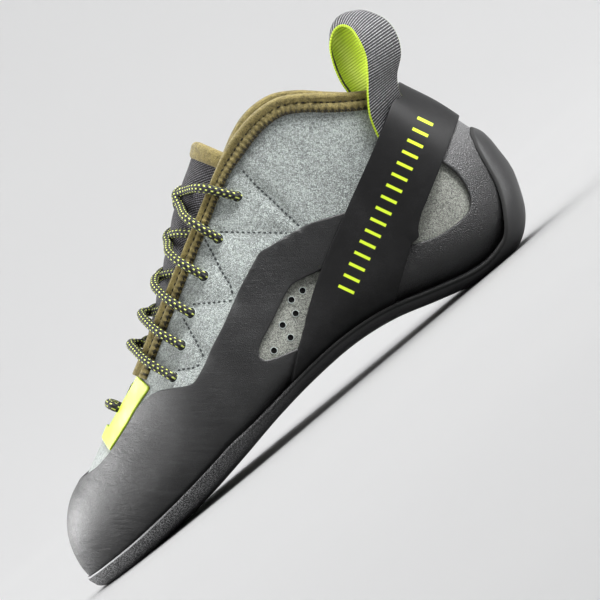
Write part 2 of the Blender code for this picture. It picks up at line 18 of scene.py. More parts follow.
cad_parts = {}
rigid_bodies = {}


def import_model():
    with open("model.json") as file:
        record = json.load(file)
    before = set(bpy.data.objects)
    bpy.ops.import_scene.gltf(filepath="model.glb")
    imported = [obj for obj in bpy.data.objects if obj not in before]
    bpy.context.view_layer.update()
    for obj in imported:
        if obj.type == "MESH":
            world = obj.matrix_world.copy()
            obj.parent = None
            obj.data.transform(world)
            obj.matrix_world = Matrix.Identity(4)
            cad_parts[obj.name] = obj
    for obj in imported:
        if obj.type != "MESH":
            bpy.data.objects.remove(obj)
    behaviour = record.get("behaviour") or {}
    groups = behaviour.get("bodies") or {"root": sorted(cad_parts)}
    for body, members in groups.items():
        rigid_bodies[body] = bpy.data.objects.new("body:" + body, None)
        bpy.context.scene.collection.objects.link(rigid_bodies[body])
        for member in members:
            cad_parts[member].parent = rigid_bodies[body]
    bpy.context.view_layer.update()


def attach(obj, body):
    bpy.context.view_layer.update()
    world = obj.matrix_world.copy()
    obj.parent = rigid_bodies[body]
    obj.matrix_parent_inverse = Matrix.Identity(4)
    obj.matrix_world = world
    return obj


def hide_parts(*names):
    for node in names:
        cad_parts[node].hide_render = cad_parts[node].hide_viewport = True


bl_info = {
    "name": "Climbing shoe looks",
    "version": (1, 0, 0),
    "blender": (4, 5, 0),
    "location": "View3D > Sidebar > Shoe",
    "description": "Dresses the solids of a climbing shoe in suede, rubber, tape and lace",
    "category": "Object",
}

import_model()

# Driving sizes of the shoe in metres, as in the part's source
LENGTH = 0.252
BALL_WIDTH = 0.092
INSTEP_HEIGHT = 0.1194
HEEL_HEIGHT = 0.081
ARCH_RISE = 0.0132
WALL = 0.002
GAP = 0.0003
SOLE_THICKNESS = 0.004
SOLE_SIDE = 0.0031
SOLE_EDGE = 0.0075
SOLE_WAIST_EDGE = 0.0044
FLAT_DEPTH = 0.0012
RAND_THICKNESS = 0.0018
BAND_THICKNESS = 0.0015
PATCH_THICKNESS = 0.0008
INSOLE_THICKNESS = 0.0016
TONGUE_THICKNESS = 0.003
TONGUE_UNDERLAP = 0.009
TONGUE_TAPE = 0.0065
TAPE_THICKNESS = 0.001
THROAT_TAPE = 0.0045
COLLAR_TAPE = 0.007
TAPE_GROOVE = 0.53
LACE_DIAMETER = 0.0038
HOLE_DEPTH = 0.003
LOOP_THICKNESS = 0.0014
LOOP_HEIGHT = 0.0325
SELVEDGE = 0.93
LASTING_MARGIN = 0.012
BAND_LAP = 0.003
BAND_MARGIN = 0.0005
TAPE_BLEND = 0.02
TAPE_LEAD = 0.012
HEIGHT_BLEND_START = 0.6
HEIGHT_BLEND_LENGTH = 0.3
SOLE_SQUARENESS = 2.0

LIFT = SOLE_THICKNESS + GAP
LAST_LENGTH = LENGTH - 2 * SOLE_SIDE
LAST_WIDTH = BALL_WIDTH - 2 * SOLE_SIDE
RAND_OUTSIDE = GAP + RAND_THICKNESS
BAND_INSIDE = RAND_OUTSIDE + GAP
TONGUE_SKIN = -WALL - TAPE_THICKNESS - 3 * GAP
NORMAL_STEP = 0.004
# Nets are dropped this far outside their region, and calmed this near the last's ends
FAR_OUTSIDE = 0.004
TIP_TURN = 0.13
TIP_DEPTH = 0.0015
# Holes: radius, width of the rim and its height
EYELET_HOLE = (0.0023, 0.0005, 0.0001)
VENT_HOLE = (0.00132, 0.0004, 0.0002)
# Stitches: pitch, height over the last, then length, width and rise of the thread
SEAM_STITCH = (0.0023, 0.0001, 0.0015, 0.0009, 0.0006)
GROOVE_STITCH = (0.0026, 0.0011, 0.0015, 0.0008, 0.0008)
HEM_STITCH = (0.0013, 0.0015, 0.0013, 0.0006, 0.0008)
HEM_LEAN = 0.9
LINE_SPACING = 0.0008
LACE_SPACING = 0.0006
COLLAR_RISE = 0.0032
# Middle of the view, and how far before it the width of the view is measured
VIEW_MIDDLE = (0.0199, 0.0, 0.0416)
NEAR_SIDE = 0.012
MILLIMETRE = 0.001

# Sections of the last, toe to heel. along is a share of the last's length; centre, half
# and ridge are shares of its width, arch of ARCH_RISE, bottom and top of the height unit.
Section = namedtuple("Section", "along centre half arch bottom top waist low high ridge")
SECTIONS = [
    (0.000, 0.152, 0.000, 0.00, 0.056, 0.056, 0.50, 2.6, 2.2, 0.152),
    (0.004, 0.152, 0.068, 0.00, 0.023, 0.111, 0.40, 2.7, 2.2, 0.152),
    (0.012, 0.149, 0.128, 0.00, 0.012, 0.161, 0.38, 2.8, 2.2, 0.152),
    (0.028, 0.142, 0.203, 0.00, 0.005, 0.215, 0.32, 3.0, 2.2, 0.152),
    (0.057, 0.126, 0.283, 0.00, 0.001, 0.270, 0.30, 3.2, 2.2, 0.150),
    (0.101, 0.100, 0.364, 0.04, 0.000, 0.312, 0.28, 3.4, 2.1, 0.138),
    (0.166, 0.065, 0.436, 0.13, 0.000, 0.377, 0.25, 3.4, 1.85, 0.110),
    (0.248, 0.026, 0.479, 0.28, 0.000, 0.469, 0.21, 3.4, 1.7, 0.078),
    (0.337, -0.009, 0.492, 0.55, 0.000, 0.599, 0.18, 3.4, 1.7, 0.050),
    (0.427, -0.026, 0.459, 0.84, 0.000, 0.739, 0.16, 3.3, 1.8, 0.028),
    (0.516, -0.035, 0.399, 1.02, 0.000, 0.887, 0.15, 3.1, 2.0, 0.012),
    (0.606, -0.033, 0.354, 1.06, 0.000, 1.013, 0.155, 3.0, 2.1, 0.000),
    (0.687, -0.022, 0.337, 0.86, 0.000, 1.226, 0.16, 3.0, 2.5, 0.000),
    (0.768, -0.010, 0.336, 0.41, 0.000, 1.509, 0.165, 3.0, 2.8, 0.000),
    (0.834, -0.003, 0.336, 0.08, 0.000, 1.641, 0.175, 3.0, 2.7, 0.000),
    (0.891, 0.000, 0.318, 0.00, 0.000, 1.397, 0.22, 2.8, 2.4, 0.000),
    (0.935, 0.000, 0.272, 0.00, 0.030, 1.021, 0.30, 2.5, 2.2, 0.000),
    (0.968, 0.000, 0.198, 0.00, 0.120, 0.786, 0.38, 2.2, 2.1, 0.000),
    (0.988, 0.000, 0.117, 0.00, 0.249, 0.589, 0.45, 2.0, 2.0, 0.000),
    (1.000, 0.000, 0.000, 0.00, 0.416, 0.416, 0.50, 2.0, 2.0, 0.000),
]

# Side view outlines as (along, up): shares of LENGTH and of the height unit
THROAT_EDGE = [
    (0.194, 0.401), (0.238, 0.436), (0.287, 0.477), (0.397, 0.604), (0.516, 0.741), (0.603, 0.842),
]
COLLAR_EDGE = [
    (0.636, 0.888), (0.667, 0.940), (0.706, 1.011), (0.742, 1.077), (0.770, 1.117), (0.802, 1.132),
    (0.833, 1.119), (0.865, 1.094), (0.897, 1.052), (0.929, 1.004), (0.968, 0.959), (1.040, 0.880),
]
RAND_TOP = [
    (-0.024, 0.328), (0.107, 0.323), (0.139, 0.321), (0.177, 0.335), (0.223, 0.366), (0.253, 0.386),
    (0.279, 0.396), (0.300, 0.391), (0.319, 0.372), (0.337, 0.350), (0.351, 0.338), (0.363, 0.341),
    (0.387, 0.363), (0.417, 0.392), (0.460, 0.430), (0.505, 0.478), (0.558, 0.524), (0.579, 0.539),
    (0.599, 0.532), (0.635, 0.528), (0.671, 0.530), (0.702, 0.525), (0.738, 0.520),
]
BAND_FRONT = [
    (1.040, 1.170), (0.935, 0.999), (0.845, 0.813), (0.732, 0.526), (0.614, 0.324), (0.529, 0.194),
    (0.492, 0.130), (0.430, 0.020),
]
BAND_REAR = [
    (1.040, 0.750), (0.979, 0.665), (0.910, 0.552), (0.837, 0.408), (0.776, 0.267), (0.704, 0.117),
    (0.640, 0.000),
]
VENT_WINDOW = [
    (0.643, 0.357), (0.602, 0.373), (0.577, 0.375), (0.521, 0.324), (0.480, 0.287), (0.468, 0.255),
    (0.478, 0.229), (0.534, 0.187),
]
HEEL_WINDOW = [
    (0.907, 0.568), (0.915, 0.477), (0.915, 0.395), (0.908, 0.322), (0.896, 0.278), (0.882, 0.260),
    (0.859, 0.252), (0.823, 0.251), (0.772, 0.282), (0.730, 0.305), (0.715, 0.340), (0.745, 0.440),
    (0.835, 0.590),
]
HEEL_WRAP = [
    (0.895, 0.022), (0.914, 0.057), (0.935, 0.144), (0.947, 0.210), (0.956, 0.283), (0.962, 0.375),
    (0.968, 0.469), (0.974, 0.522), (0.987, 0.590), (1.040, 0.660),
]
PATCH_LOWER = [(0.172, 0.336), (0.292, 0.420)]
TONGUE_END = (0.607, 0.988)
EYELETS = [
    (0.608, 0.740), (0.539, 0.668), (0.481, 0.599), (0.425, 0.528), (0.379, 0.461), (0.335, 0.394),
    (0.229, 0.421),
]
VENT_HOLES = [
    (0.592, 0.339), (0.568, 0.339), (0.559, 0.293), (0.530, 0.291), (0.527, 0.240), (0.492, 0.242),
]
# Top of the sole's edge: along, then shares of SOLE_EDGE and of SOLE_WAIST_EDGE
SOLE_EDGES = [
    (-0.040, 1.0, 0.0), (0.000, 1.0, 0.0), (0.100, 1.0, 0.0), (0.200, 1.0, 0.0), (0.290, 1.0, 0.0),
    (0.340, 0.95, 0.0), (0.390, 0.35, 0.60), (0.440, 0.0, 1.0), (0.520, 0.0, 1.0),
    (0.600, 0.0, 1.0), (0.680, 0.0, 1.0), (0.760, 0.0, 0.95), (0.820, 0.0, 0.9), (0.861, 0.0, 0.9),
]

# Seams stitched through the suede, and the soft troughs that they pull
SEAMS = [
    [(0.642, 0.816), (0.644, 0.744), (0.648, 0.684), (0.652, 0.620), (0.657, 0.535)],
    [(0.547, 0.687), (0.633, 0.536)],
    [(0.521, 0.700), (0.514, 0.620), (0.509, 0.573), (0.506, 0.518), (0.500, 0.490)],
    [(0.435, 0.551), (0.494, 0.468)],
    [(0.409, 0.535), (0.405, 0.486), (0.402, 0.440), (0.396, 0.390)],
    [(0.346, 0.407), (0.371, 0.378), (0.386, 0.370)],
]
SEAM_DEPTH = 0.0008
SEAM_WIDTH = 0.0022
# Soft folds of the upper: from a place, to a place, how deep and how wide
FOLDS = [
    ((0.690, 0.700), (0.760, 0.960), 0.0006, 0.006),
    ((0.760, 0.620), (0.850, 0.900), -0.0005, 0.007),
    ((0.560, 0.600), (0.640, 0.700), -0.0005, 0.006),
    ((0.250, 0.390), (0.330, 0.330), 0.0005, 0.005),
    ((0.190, 0.300), (0.300, 0.280), 0.0004, 0.007),
    ((0.420, 0.120), (0.560, 0.420), 0.0003, 0.008),
    ((0.310, 0.150), (0.400, 0.330), -0.0004, 0.009),
]


def blend(start, end, share):
    """Smooth step of share, from start to end."""
    share = np.clip(share, 0.0, 1.0)
    return start + (end - start) * share * share * (3 - 2 * share)


def hump(value, middle, width):
    """1 at a middle, falling softly to nought on both sides."""
    return np.exp(-((value - middle) / width) ** 2)


def cubic(knots, values, at):
    """Smooth curve through the values at the knots, for one or several columns."""
    knots, values, at = (np.asarray(part, float) for part in (knots, values, at))
    last = len(knots) - 1
    steps = np.arange(last + 1)
    below, above = np.maximum(steps - 1, 0), np.minimum(steps + 1, last)
    spans = knots[above] - knots[below]
    i = np.clip(np.searchsorted(knots, at) - 1, 0, last - 1)
    width = knots[i + 1] - knots[i]
    t = (at - knots[i]) / width
    if values.ndim > 1:
        spans, width, t = spans[:, None], width[..., None], t[..., None]
    slopes = (values[above] - values[below]) / spans
    return (
        values[i] * (1 + 2 * t) * (1 - t) ** 2
        + values[i + 1] * t * t * (3 - 2 * t)
        + slopes[i] * width * t * (1 - t) ** 2
        - slopes[i + 1] * width * t * t * (1 - t)
    )


def height_unit(along):
    """What heights are shares of: the instep in front, the heel behind."""
    share = (along - HEIGHT_BLEND_START) / HEIGHT_BLEND_LENGTH
    return blend(INSTEP_HEIGHT, HEEL_HEIGHT, share)


def turn_of(along):
    """Angle whose cosine spaces stations closely at toe and heel."""
    return np.arccos(1 - 2 * np.clip(along, 0.0, 1.0))


COLUMNS = np.array(SECTIONS, float)
KNOTS = turn_of(COLUMNS[:, 0])


def section_at(turn):
    """The last's sections, in metres where the table holds shares."""
    turn = np.asarray(turn, float)
    row = Section(*np.moveaxis(cubic(KNOTS, COLUMNS, turn), -1, 0))
    x = (0.5 - np.cos(turn) / 2 - 0.5) * LAST_LENGTH
    unit = height_unit(x / LENGTH + 0.5)
    return row._replace(
        along=x,
        centre=row.centre * LAST_WIDTH,
        half=np.maximum(0.0, row.half) * LAST_WIDTH,
        arch=LIFT + row.arch * ARCH_RISE,
        bottom=LIFT + row.arch * ARCH_RISE + row.bottom * unit,
        top=LIFT + row.top * unit,
        ridge=row.ridge * LAST_WIDTH,
    )


def power(value, exponent):
    return np.sign(value) * np.abs(value) ** exponent


def last_points(turn, angle, square=0.0):
    """Points of the last. angle 0 is the outer side, a quarter turn the ridge."""
    row = section_at(turn)
    waist = row.bottom + (row.top - row.bottom) * row.waist
    across, upward = np.cos(angle), np.sin(angle)
    bend = np.where(upward >= 0, row.high, row.low + square)
    height = np.where(upward >= 0, row.top - waist, waist - row.bottom)
    rise = power(upward, 2 / bend)
    y = row.centre - row.half * power(across, 2 / bend)
    y = y + np.where(upward > 0, (row.ridge - row.centre) * rise * rise, 0.0)
    return np.stack([row.along + 0 * y, y, waist + height * rise], axis=-1)


def unit_rows(rows):
    return rows / np.maximum(np.linalg.norm(rows, axis=-1, keepdims=True), 1e-12)


def last_normals(turn, angle, square=0.0):
    """Outward directions of the last."""
    step = NORMAL_STEP
    turn = np.clip(turn, 2 * step, math.pi - 2 * step)
    lengthwise = last_points(turn + step, angle, square) - last_points(turn - step, angle, square)
    around = last_points(turn, angle + step, square) - last_points(turn, angle - step, square)
    return unit_rows(np.cross(lengthwise, around))


def grown(turn, angle, height, square=0.0):
    """Points at a height over the last."""
    turn, angle = np.asarray(turn, float), np.asarray(angle, float)
    normal = last_normals(turn, angle, square)
    normal[turn <= 0] = (-1, 0, 0)
    normal[turn >= math.pi] = (1, 0, 0)
    return last_points(turn, angle, square) + normal * np.reshape(height, (-1, 1))


def side_points(places):
    """Side view places as (x, z) in metres."""
    rows = np.array(places, float)
    return np.stack([(rows[:, 0] - 0.5) * LENGTH, LIFT + rows[:, 1] * height_unit(rows[:, 0])], axis=1)


def smooth_line(points, per_span):
    """A smooth line through points."""
    last = len(points) - 1
    return cubic(np.arange(last + 1), points, np.linspace(0, last, last * per_span + 1))


def curve(places, per_span=6):
    """A smooth line through side view places."""
    return smooth_line(side_points(places), per_span)


def shifted(points, distance):
    """A line moved sideways, to the left of its own direction."""
    ahead = np.gradient(points, axis=0)
    across = unit_rows(np.stack([-ahead[:, 1], ahead[:, 0]], axis=1))
    return points + across * np.reshape(distance, (-1, 1))


def sole_line():
    """Top of the sole's edge: along the bottom, then up the back of the heel."""
    rows = np.array(SOLE_EDGES, float)
    x = (rows[:, 0] - 0.5) * LENGTH
    row = section_at(turn_of(np.clip(x / LAST_LENGTH + 0.5, 0, 1)))
    rise = rows[:, 1] * SOLE_EDGE + rows[:, 2] * SOLE_WAIST_EDGE
    bottom = np.stack([x, row.arch - LIFT + rise], axis=1)
    return smooth_line(np.concatenate([bottom, side_points(HEEL_WRAP)]), 5)


def top_line():
    """Edge of the throat and collar, toe end to heel."""
    return curve(THROAT_EDGE + COLLAR_EDGE, 5)


def tape_width(x):
    """Width of the folded tape, narrow on the throat and wide on the collar."""
    corner = side_points(COLLAR_EDGE[:1])[0, 0]
    return blend(THROAT_TAPE, COLLAR_TAPE, (x - corner + TAPE_LEAD) / TAPE_BLEND)


def hem_line(extra=0.0):
    """Lower edge of the folded tape."""
    points = top_line()
    return shifted(points, -(tape_width(points[:, 0]) + extra))


def above(line, level=INSTEP_HEIGHT * 2):
    """Outline of all that lies between a line and a level over it."""
    return np.concatenate([line, [[line[-1, 0], level], [line[0, 0], level]]])


def below(line):
    return above(line, -INSTEP_HEIGHT)


def behind(line):
    """Outline of all that lies between a falling line and a place far behind the heel."""
    return np.concatenate([line, [[0.3, -0.1], [0.3, 0.2]]])


def lengths_along(points):
    """Length of a line up to each of its points."""
    return np.concatenate([[0], np.cumsum(np.linalg.norm(np.diff(points, axis=0), axis=1))])


def rows_at(at, lengths, rows):
    """Rows between given ones, at lengths along a line."""
    return np.stack([np.interp(at, lengths, column) for column in rows.T], axis=1)


def ring_faces(rings, count, flip=False):
    """Faces between closed rings of count points each."""
    faces = []
    for i in range(rings - 1):
        for j in range(count):
            a, b = i * count + j, i * count + (j + 1) % count
            faces.append([a, b, b + count, a + count] if flip else [a, a + count, b + count, b])
    return faces


def caps(rings, count):
    """The first and the last ring as faces."""
    return [list(range(count)), list(range((rings - 1) * count, rings * count))]


def distance_to(points, line):
    """Side view distance from points to an open line."""
    x, z = points[:, 0], points[:, 2]
    nearest = np.full(len(x), 1e9)
    for (ax, az), (bx, bz) in zip(line[:-1], line[1:]):
        dx, dz = bx - ax, bz - az
        share = np.clip(((x - ax) * dx + (z - az) * dz) / max(dx * dx + dz * dz, 1e-18), 0, 1)
        nearest = np.minimum(nearest, (x - ax - share * dx) ** 2 + (z - az - share * dz) ** 2)
    return np.sqrt(nearest)


def depth_in(points, outline):
    """How far points lie inside a side view outline, below nought outside it."""
    x, z = points[:, 0], points[:, 2]
    closed = np.concatenate([outline, outline[:1]])
    inside = np.zeros(len(x), bool)
    for (ax, az), (bx, bz) in zip(closed[:-1], closed[1:]):
        if az != bz:
            inside ^= ((az > z) != (bz > z)) & (x < ax + (z - az) / (bz - az) * (bx - ax))
    return np.where(inside, 1, -1) * distance_to(points, closed)


def relief(points):
    """Folds and the troughs along the seams, as a height."""
    height = np.zeros(len(points))
    for seam in SEAMS:
        height -= SEAM_DEPTH * hump(distance_to(points, side_points(seam)), 0, SEAM_WIDTH)
    for start, end, depth, width in FOLDS:
        height += depth * hump(distance_to(points, side_points([start, end])), 0, width)
    return height


def surface_place(points, inner=False):
    """Turn and angle of the last at side view points, on the outer or inner side."""
    points = np.atleast_2d(points)
    turn = turn_of(points[:, 0] / LAST_LENGTH + 0.5)
    row = section_at(turn)
    waist = row.bottom + (row.top - row.bottom) * row.waist
    up = np.clip((points[:, 1] - waist) / (row.top - waist), 0, 1)
    down = np.clip((waist - points[:, 1]) / (waist - row.bottom), 0, 1)
    angle = np.arcsin(up ** (row.high / 2)) - np.arcsin(down ** (row.low / 2))
    return turn, np.where(inner, math.pi - angle, angle)


def onto_last(points, turn, angle, rounds=8):
    """Nearest places of the last to points, from a first guess."""
    step = 1e-4
    for _ in range(rounds):
        here = last_points(turn, angle)
        along = (last_points(turn + step, angle) - here) / step
        around = (last_points(turn, angle + step) - here) / step
        miss = points - here
        aa, ab, bb = (np.sum(p * q, axis=1) for p, q in ((along, along), (along, around), (around, around)))
        pa, pb = np.sum(miss * along, axis=1), np.sum(miss * around, axis=1)
        det = np.maximum(aa * bb - ab * ab, 1e-14)
        turn = np.clip(turn + np.clip((pa * bb - pb * ab) / det, -0.1, 0.1), 0.02, math.pi - 0.02)
        angle = angle + np.clip((pb * aa - pa * ab) / det, -0.1, 0.1)
    return turn, angle


def lifted(base, direction, height, turn, angle, rounds=14):
    """Points pushed from base along a direction until they stand at a height over the last."""
    reach = np.full(len(base), 0.004)
    for _ in range(rounds):
        points = base + direction * reach[:, None]
        turn, angle = onto_last(points, turn, angle, 3)
        normal = last_normals(turn, angle)
        gap = np.sum((points - last_points(turn, angle)) * normal, axis=1)
        slope = np.maximum(np.sum(normal * direction, axis=1), 0.35)
        reach = reach + np.clip((height - gap) / slope, -0.01, 0.01)
    return base + direction * reach[:, None], turn, angle


class Patch:
    """A net of faces on the last that is cut along the edge of a region."""

    def __init__(self, turns, angles, rows, count):
        self.turn = np.repeat(np.linspace(*turns, rows + 1), count)
        self.angle = np.tile(np.linspace(*angles, count, endpoint=False), rows + 1)
        self.faces = ring_faces(rows + 1, count)
        for end, ring in ((0.0, 0), (math.pi, rows)):
            if turns[0 if ring == 0 else 1] in (0.0, math.pi):
                self._close(end, ring * count, count)

    def _close(self, end, first, count):
        """Draws the first or last ring together at the tip of the last."""
        sign = 1 if end == 0 else -1
        self.turn[first : first + count] = end + sign * 0.012
        face = list(range(first, first + count))
        self.faces.append(face if end == 0 else face[::-1])

    def measure(self, region, height, square, shape):
        """Stores how deep each point lies in the region and drops faces far outside it."""
        self.depth = region(shape(self.turn, self.angle, height, square))
        far = self.depth < -FAR_OUTSIDE
        self.faces = [face for face in self.faces if not all(far[i] for i in face)]

    def split(self, level):
        """Cuts the faces where the depth passes a level."""
        over = self.depth > level
        cuts, turns, angles, depths, faces = {}, [], [], [], []
        count = len(self.turn)
        for face in self.faces:
            state = [over[i] for i in face]
            if all(state) or not any(state):
                faces.append(face)
                continue
            parts = {True: [], False: []}
            for a, b in zip(face, face[1:] + face[:1]):
                parts[bool(over[a])].append(a)
                if over[a] == over[b]:
                    continue
                key = (min(a, b), max(a, b))
                if key not in cuts:
                    i, j = key
                    share = (level - self.depth[i]) / (self.depth[j] - self.depth[i])
                    swing = (self.angle[j] - self.angle[i] + math.pi) % (2 * math.pi) - math.pi
                    turns.append(self.turn[i] + share * (self.turn[j] - self.turn[i]))
                    angles.append(self.angle[i] + share * swing)
                    depths.append(level)
                    cuts[key] = count + len(turns) - 1
                parts[True].append(cuts[key])
                parts[False].append(cuts[key])
            faces += [part for part in parts.values() if len(part) > 2]
        self.turn = np.append(self.turn, turns)
        self.angle = np.append(self.angle, angles)
        self.depth = np.append(self.depth, depths)
        self.faces = faces

    def keep_inside(self):
        self.faces = [face for face in self.faces if self.depth[face].mean() > 0]
        used = np.unique(np.concatenate([np.array(face) for face in self.faces]))
        place = np.full(len(self.turn), -1)
        place[used] = np.arange(len(used))
        self.faces = [[int(place[i]) for i in face] for face in self.faces]
        self.turn, self.angle, self.depth = self.turn[used], self.angle[used], self.depth[used]

    def open_edges(self):
        """Edges with a face on one side only, in that face's direction."""
        edges = {(a, b) for face in self.faces for a, b in zip(face, face[1:] + face[:1])}
        return [edge for edge in edges if edge[::-1] not in edges]


def rounded(depth, radius):
    """How much a surface falls towards its edge, as a quarter of a circle."""
    short = np.clip(radius - depth, 0, radius)
    return radius - np.sqrt(np.maximum(radius * radius - short * short, 0))


def placed(name, data):
    """An object in the scene that holds the data."""
    made = bpy.data.objects.new(name, data)
    bpy.context.scene.collection.objects.link(made)
    return made


def add_piece(name, points, faces, finish, replaces=(), floats=None, strand=None):
    """Makes an object of points and faces that rides on the shoe's body."""
    mesh = bpy.data.meshes.new(name)
    mesh.from_pydata(np.asarray(points).tolist(), [], faces)
    mesh.validate()
    net = bmesh.new()
    net.from_mesh(mesh)
    bmesh.ops.recalc_face_normals(net, faces=net.faces)
    net.to_mesh(mesh)
    net.free()
    mesh.shade_smooth()
    for label, values in (floats or {}).items():
        layer = mesh.attributes.new(label, "FLOAT", "POINT")
        layer.data.foreach_set("value", np.asarray(values, np.float32))
    if strand is not None:
        layer = mesh.uv_layers.new(name="strand")
        index = np.zeros(len(mesh.loops), np.int32)
        mesh.loops.foreach_get("vertex_index", index)
        layer.data.foreach_set("uv", np.asarray(strand, np.float32)[index].ravel())
    piece = placed(name, mesh)
    mesh.materials.append(finish)
    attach(piece, "root")
    if replaces:
        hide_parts(*replaces)
    return piece


def calm_tips(points, faces, tip, rounds=80):
    """Evens out a layer where its rows meet at the last's two ends."""
    if not tip.any():
        return
    pairs = np.array([(a, b) for face in faces for a, b in zip(face, face[1:] + face[:1])])
    pairs = pairs[tip[pairs].any(axis=1)]
    for _ in range(rounds):
        total, number = np.zeros_like(points), np.zeros(len(points))
        for a, b in (pairs.T, pairs.T[::-1]):
            np.add.at(total, a, points[b])
            np.add.at(number, a, 1)
        points[tip] = total[tip] / number[tip, None]


def add_layer(name, region, outside, inside, finish, edge=0.0007, soft=0.0003,
              turns=(0.0, math.pi), rows=240, columns=200, square=0.0, shape=grown,
              creased=True, more=None, swell=None):
    """A closed layer between two heights over the last, rounded at the region's edge."""
    probe = outside if np.isscalar(outside) else 0.0
    patch = Patch(turns, (-math.pi / 2, 1.5 * math.pi), rows, columns)
    patch.measure(region, probe, square, shape)
    for level in (edge, edge * 0.55, edge * 0.25, edge * 0.07, 0.0):
        patch.split(level)
    patch.keep_inside()
    flat = shape(patch.turn, patch.angle, probe, square)
    fold = relief(flat) if creased else 0.0
    high = outside if np.isscalar(outside) else outside(flat, patch.depth)
    high = high + (swell(flat, patch.depth) if swell else 0.0)
    low = inside if np.isscalar(inside) else inside(flat, patch.depth)
    over = shape(patch.turn, patch.angle, high - rounded(patch.depth, edge) + fold, square)
    under = shape(patch.turn, patch.angle, low + rounded(patch.depth, soft) + fold, square)
    tip = np.minimum(patch.turn, math.pi - patch.turn) < TIP_TURN
    for points in (over, under):
        calm_tips(points, patch.faces, tip & (patch.depth > TIP_DEPTH))
    count = len(over)
    faces = patch.faces + [[count + i for i in face[::-1]] for face in patch.faces]
    faces += [[b, a, count + a, count + b] for a, b in patch.open_edges()]
    floats = {
        "edge": np.concatenate([patch.depth, patch.depth]),
        "lining": np.concatenate([np.zeros(count), np.ones(count)]),
    }
    for label, values in (more(flat) if more else {}).items():
        floats[label] = np.concatenate([values, values])
    points = np.concatenate([over, under])
    return add_piece(name, points, faces, finish, (name,), floats)


class Value:
    """A number in a material, on which Python expressions add Math nodes."""

    def __init__(self, finish, socket):
        self.finish, self.socket = finish, socket

    def math(self, operation, *others):
        terms = dict(enumerate((self, *others)))
        return self.finish.node("ShaderNodeMath", {"operation": operation}, terms)

    def __add__(self, other):
        return self.math("ADD", other)

    def __sub__(self, other):
        return self.math("SUBTRACT", other)

    def __rsub__(self, other):
        return self.finish.node("ShaderNodeMath", {"operation": "SUBTRACT"}, {0: other, 1: self})

    def __mul__(self, other):
        return self.math("MULTIPLY", other)

    def __truediv__(self, other):
        return self.math("DIVIDE", other)

    __radd__, __rmul__ = __add__, __mul__

    def over(self, level, softness):
        """0 below a level and 1 above it, with a soft step between."""
        return ((self - level) / softness + 0.5).clamped()

    def clamped(self):
        return self.math("MINIMUM", 1.0).math("MAXIMUM", 0.0)

    def absolute(self):
        return self.math("ABSOLUTE")

    def fraction(self):
        return self.math("FRACT")

    def sine(self):
        return self.math("SINE")


class Finish:
    """One material under construction."""

    def __init__(self, name, roughness=0.8, **settings):
        self.material = bpy.data.materials.new(name)
        self.material.use_nodes = True
        self.tree = self.material.node_tree
        self.shader = self.tree.nodes["Principled BSDF"]
        self.shader.inputs["Roughness"].default_value = roughness
        for label, value in settings.items():
            self.shader.inputs[label.replace("_", " ").title().replace("Ior", "IOR")].default_value = value

    def node(self, kind, settings=None, sockets=None, output=0):
        """Adds a node with its settings, then links or sets its sockets."""
        made = self.tree.nodes.new(kind)
        for label, value in (settings or {}).items():
            if label == "stops":
                self._set_stops(made.color_ramp, value)
            else:
                setattr(made, label, value)
        for label, value in (sockets or {}).items():
            self.feed(made.inputs[label], value)
        return Value(self, made.outputs[output])

    def _set_stops(self, ramp, stops):
        while len(ramp.elements) < len(stops):
            ramp.elements.new(1.0)
        for element, (place, colour) in zip(ramp.elements, stops):
            element.position, element.color = place, (*colour, 1.0)

    def feed(self, socket, value):
        if isinstance(value, Value):
            self.tree.links.new(value.socket, socket)
        elif isinstance(value, (tuple, list)) and socket.type == "RGBA":
            socket.default_value = (*value, 1.0)
        else:
            socket.default_value = value

    def place(self, scale=(1.0, 1.0, 1.0), turn=(0.0, 0.0, 0.0)):
        """Coordinates of the shoe in metres, turned and stretched."""
        where = self.node("ShaderNodeTexCoord", output=3)
        sockets = {"Vector": where, "Scale": scale, "Rotation": turn}
        return self.node("ShaderNodeMapping", {"vector_type": "TEXTURE"}, sockets)

    def axes(self):
        """The shoe's x, y and z."""
        split = self.node("ShaderNodeSeparateXYZ", {}, {0: self.place()})
        return [Value(self, output) for output in split.socket.node.outputs]

    def noise(self, scale, detail=2.0, roughness=0.5, where=None, distortion=0.0):
        sockets = {"Vector": where or self.place(), "Scale": scale, "Detail": detail,
                   "Roughness": roughness, "Distortion": distortion}
        return self.node("ShaderNodeTexNoise", {}, sockets)

    def cells(self, scale, where):
        sockets = {"Vector": where, "Scale": scale}
        return self.node("ShaderNodeTexVoronoi", {"feature": "F1"}, sockets)

    def attribute(self, label):
        return self.node("ShaderNodeAttribute", {"attribute_name": label}, output=2)

    def strand(self):
        """Length along and place across a strand."""
        place = self.node("ShaderNodeUVMap", {"uv_map": "strand"})
        split = self.node("ShaderNodeSeparateXYZ", {}, {0: place})
        outputs = split.socket.node.outputs
        return Value(self, outputs[0]), Value(self, outputs[1])

    def mix(self, share, first, second):
        """A colour between two, by share."""
        made = self.tree.nodes.new("ShaderNodeMix")
        made.data_type = "RGBA"
        self.feed(made.inputs["Factor"], share)
        self.feed(made.inputs[6], first)
        self.feed(made.inputs[7], second)
        return Value(self, made.outputs[2])

    def ramp(self, share, stops):
        return self.node("ShaderNodeValToRGB", {"stops": stops}, {0: share})

    def present(self):
        """The colour that is linked so far."""
        return Value(self, self.shader.inputs["Base Color"].links[0].from_socket)

    def colour(self, value):
        self.feed(self.shader.inputs["Base Color"], value)

    def rough(self, value):
        self.feed(self.shader.inputs["Roughness"], value)

    def bump(self, height, distance, strength=1.0):
        sockets = {"Height": height, "Distance": distance, "Strength": strength}
        self.feed(self.shader.inputs["Normal"], self.node("ShaderNodeBump", {}, sockets))


def times(colour, factor, lift=0.0):
    """A colour made darker or lighter, not past white."""
    return tuple(min(1.0, factor * part + lift) for part in colour)


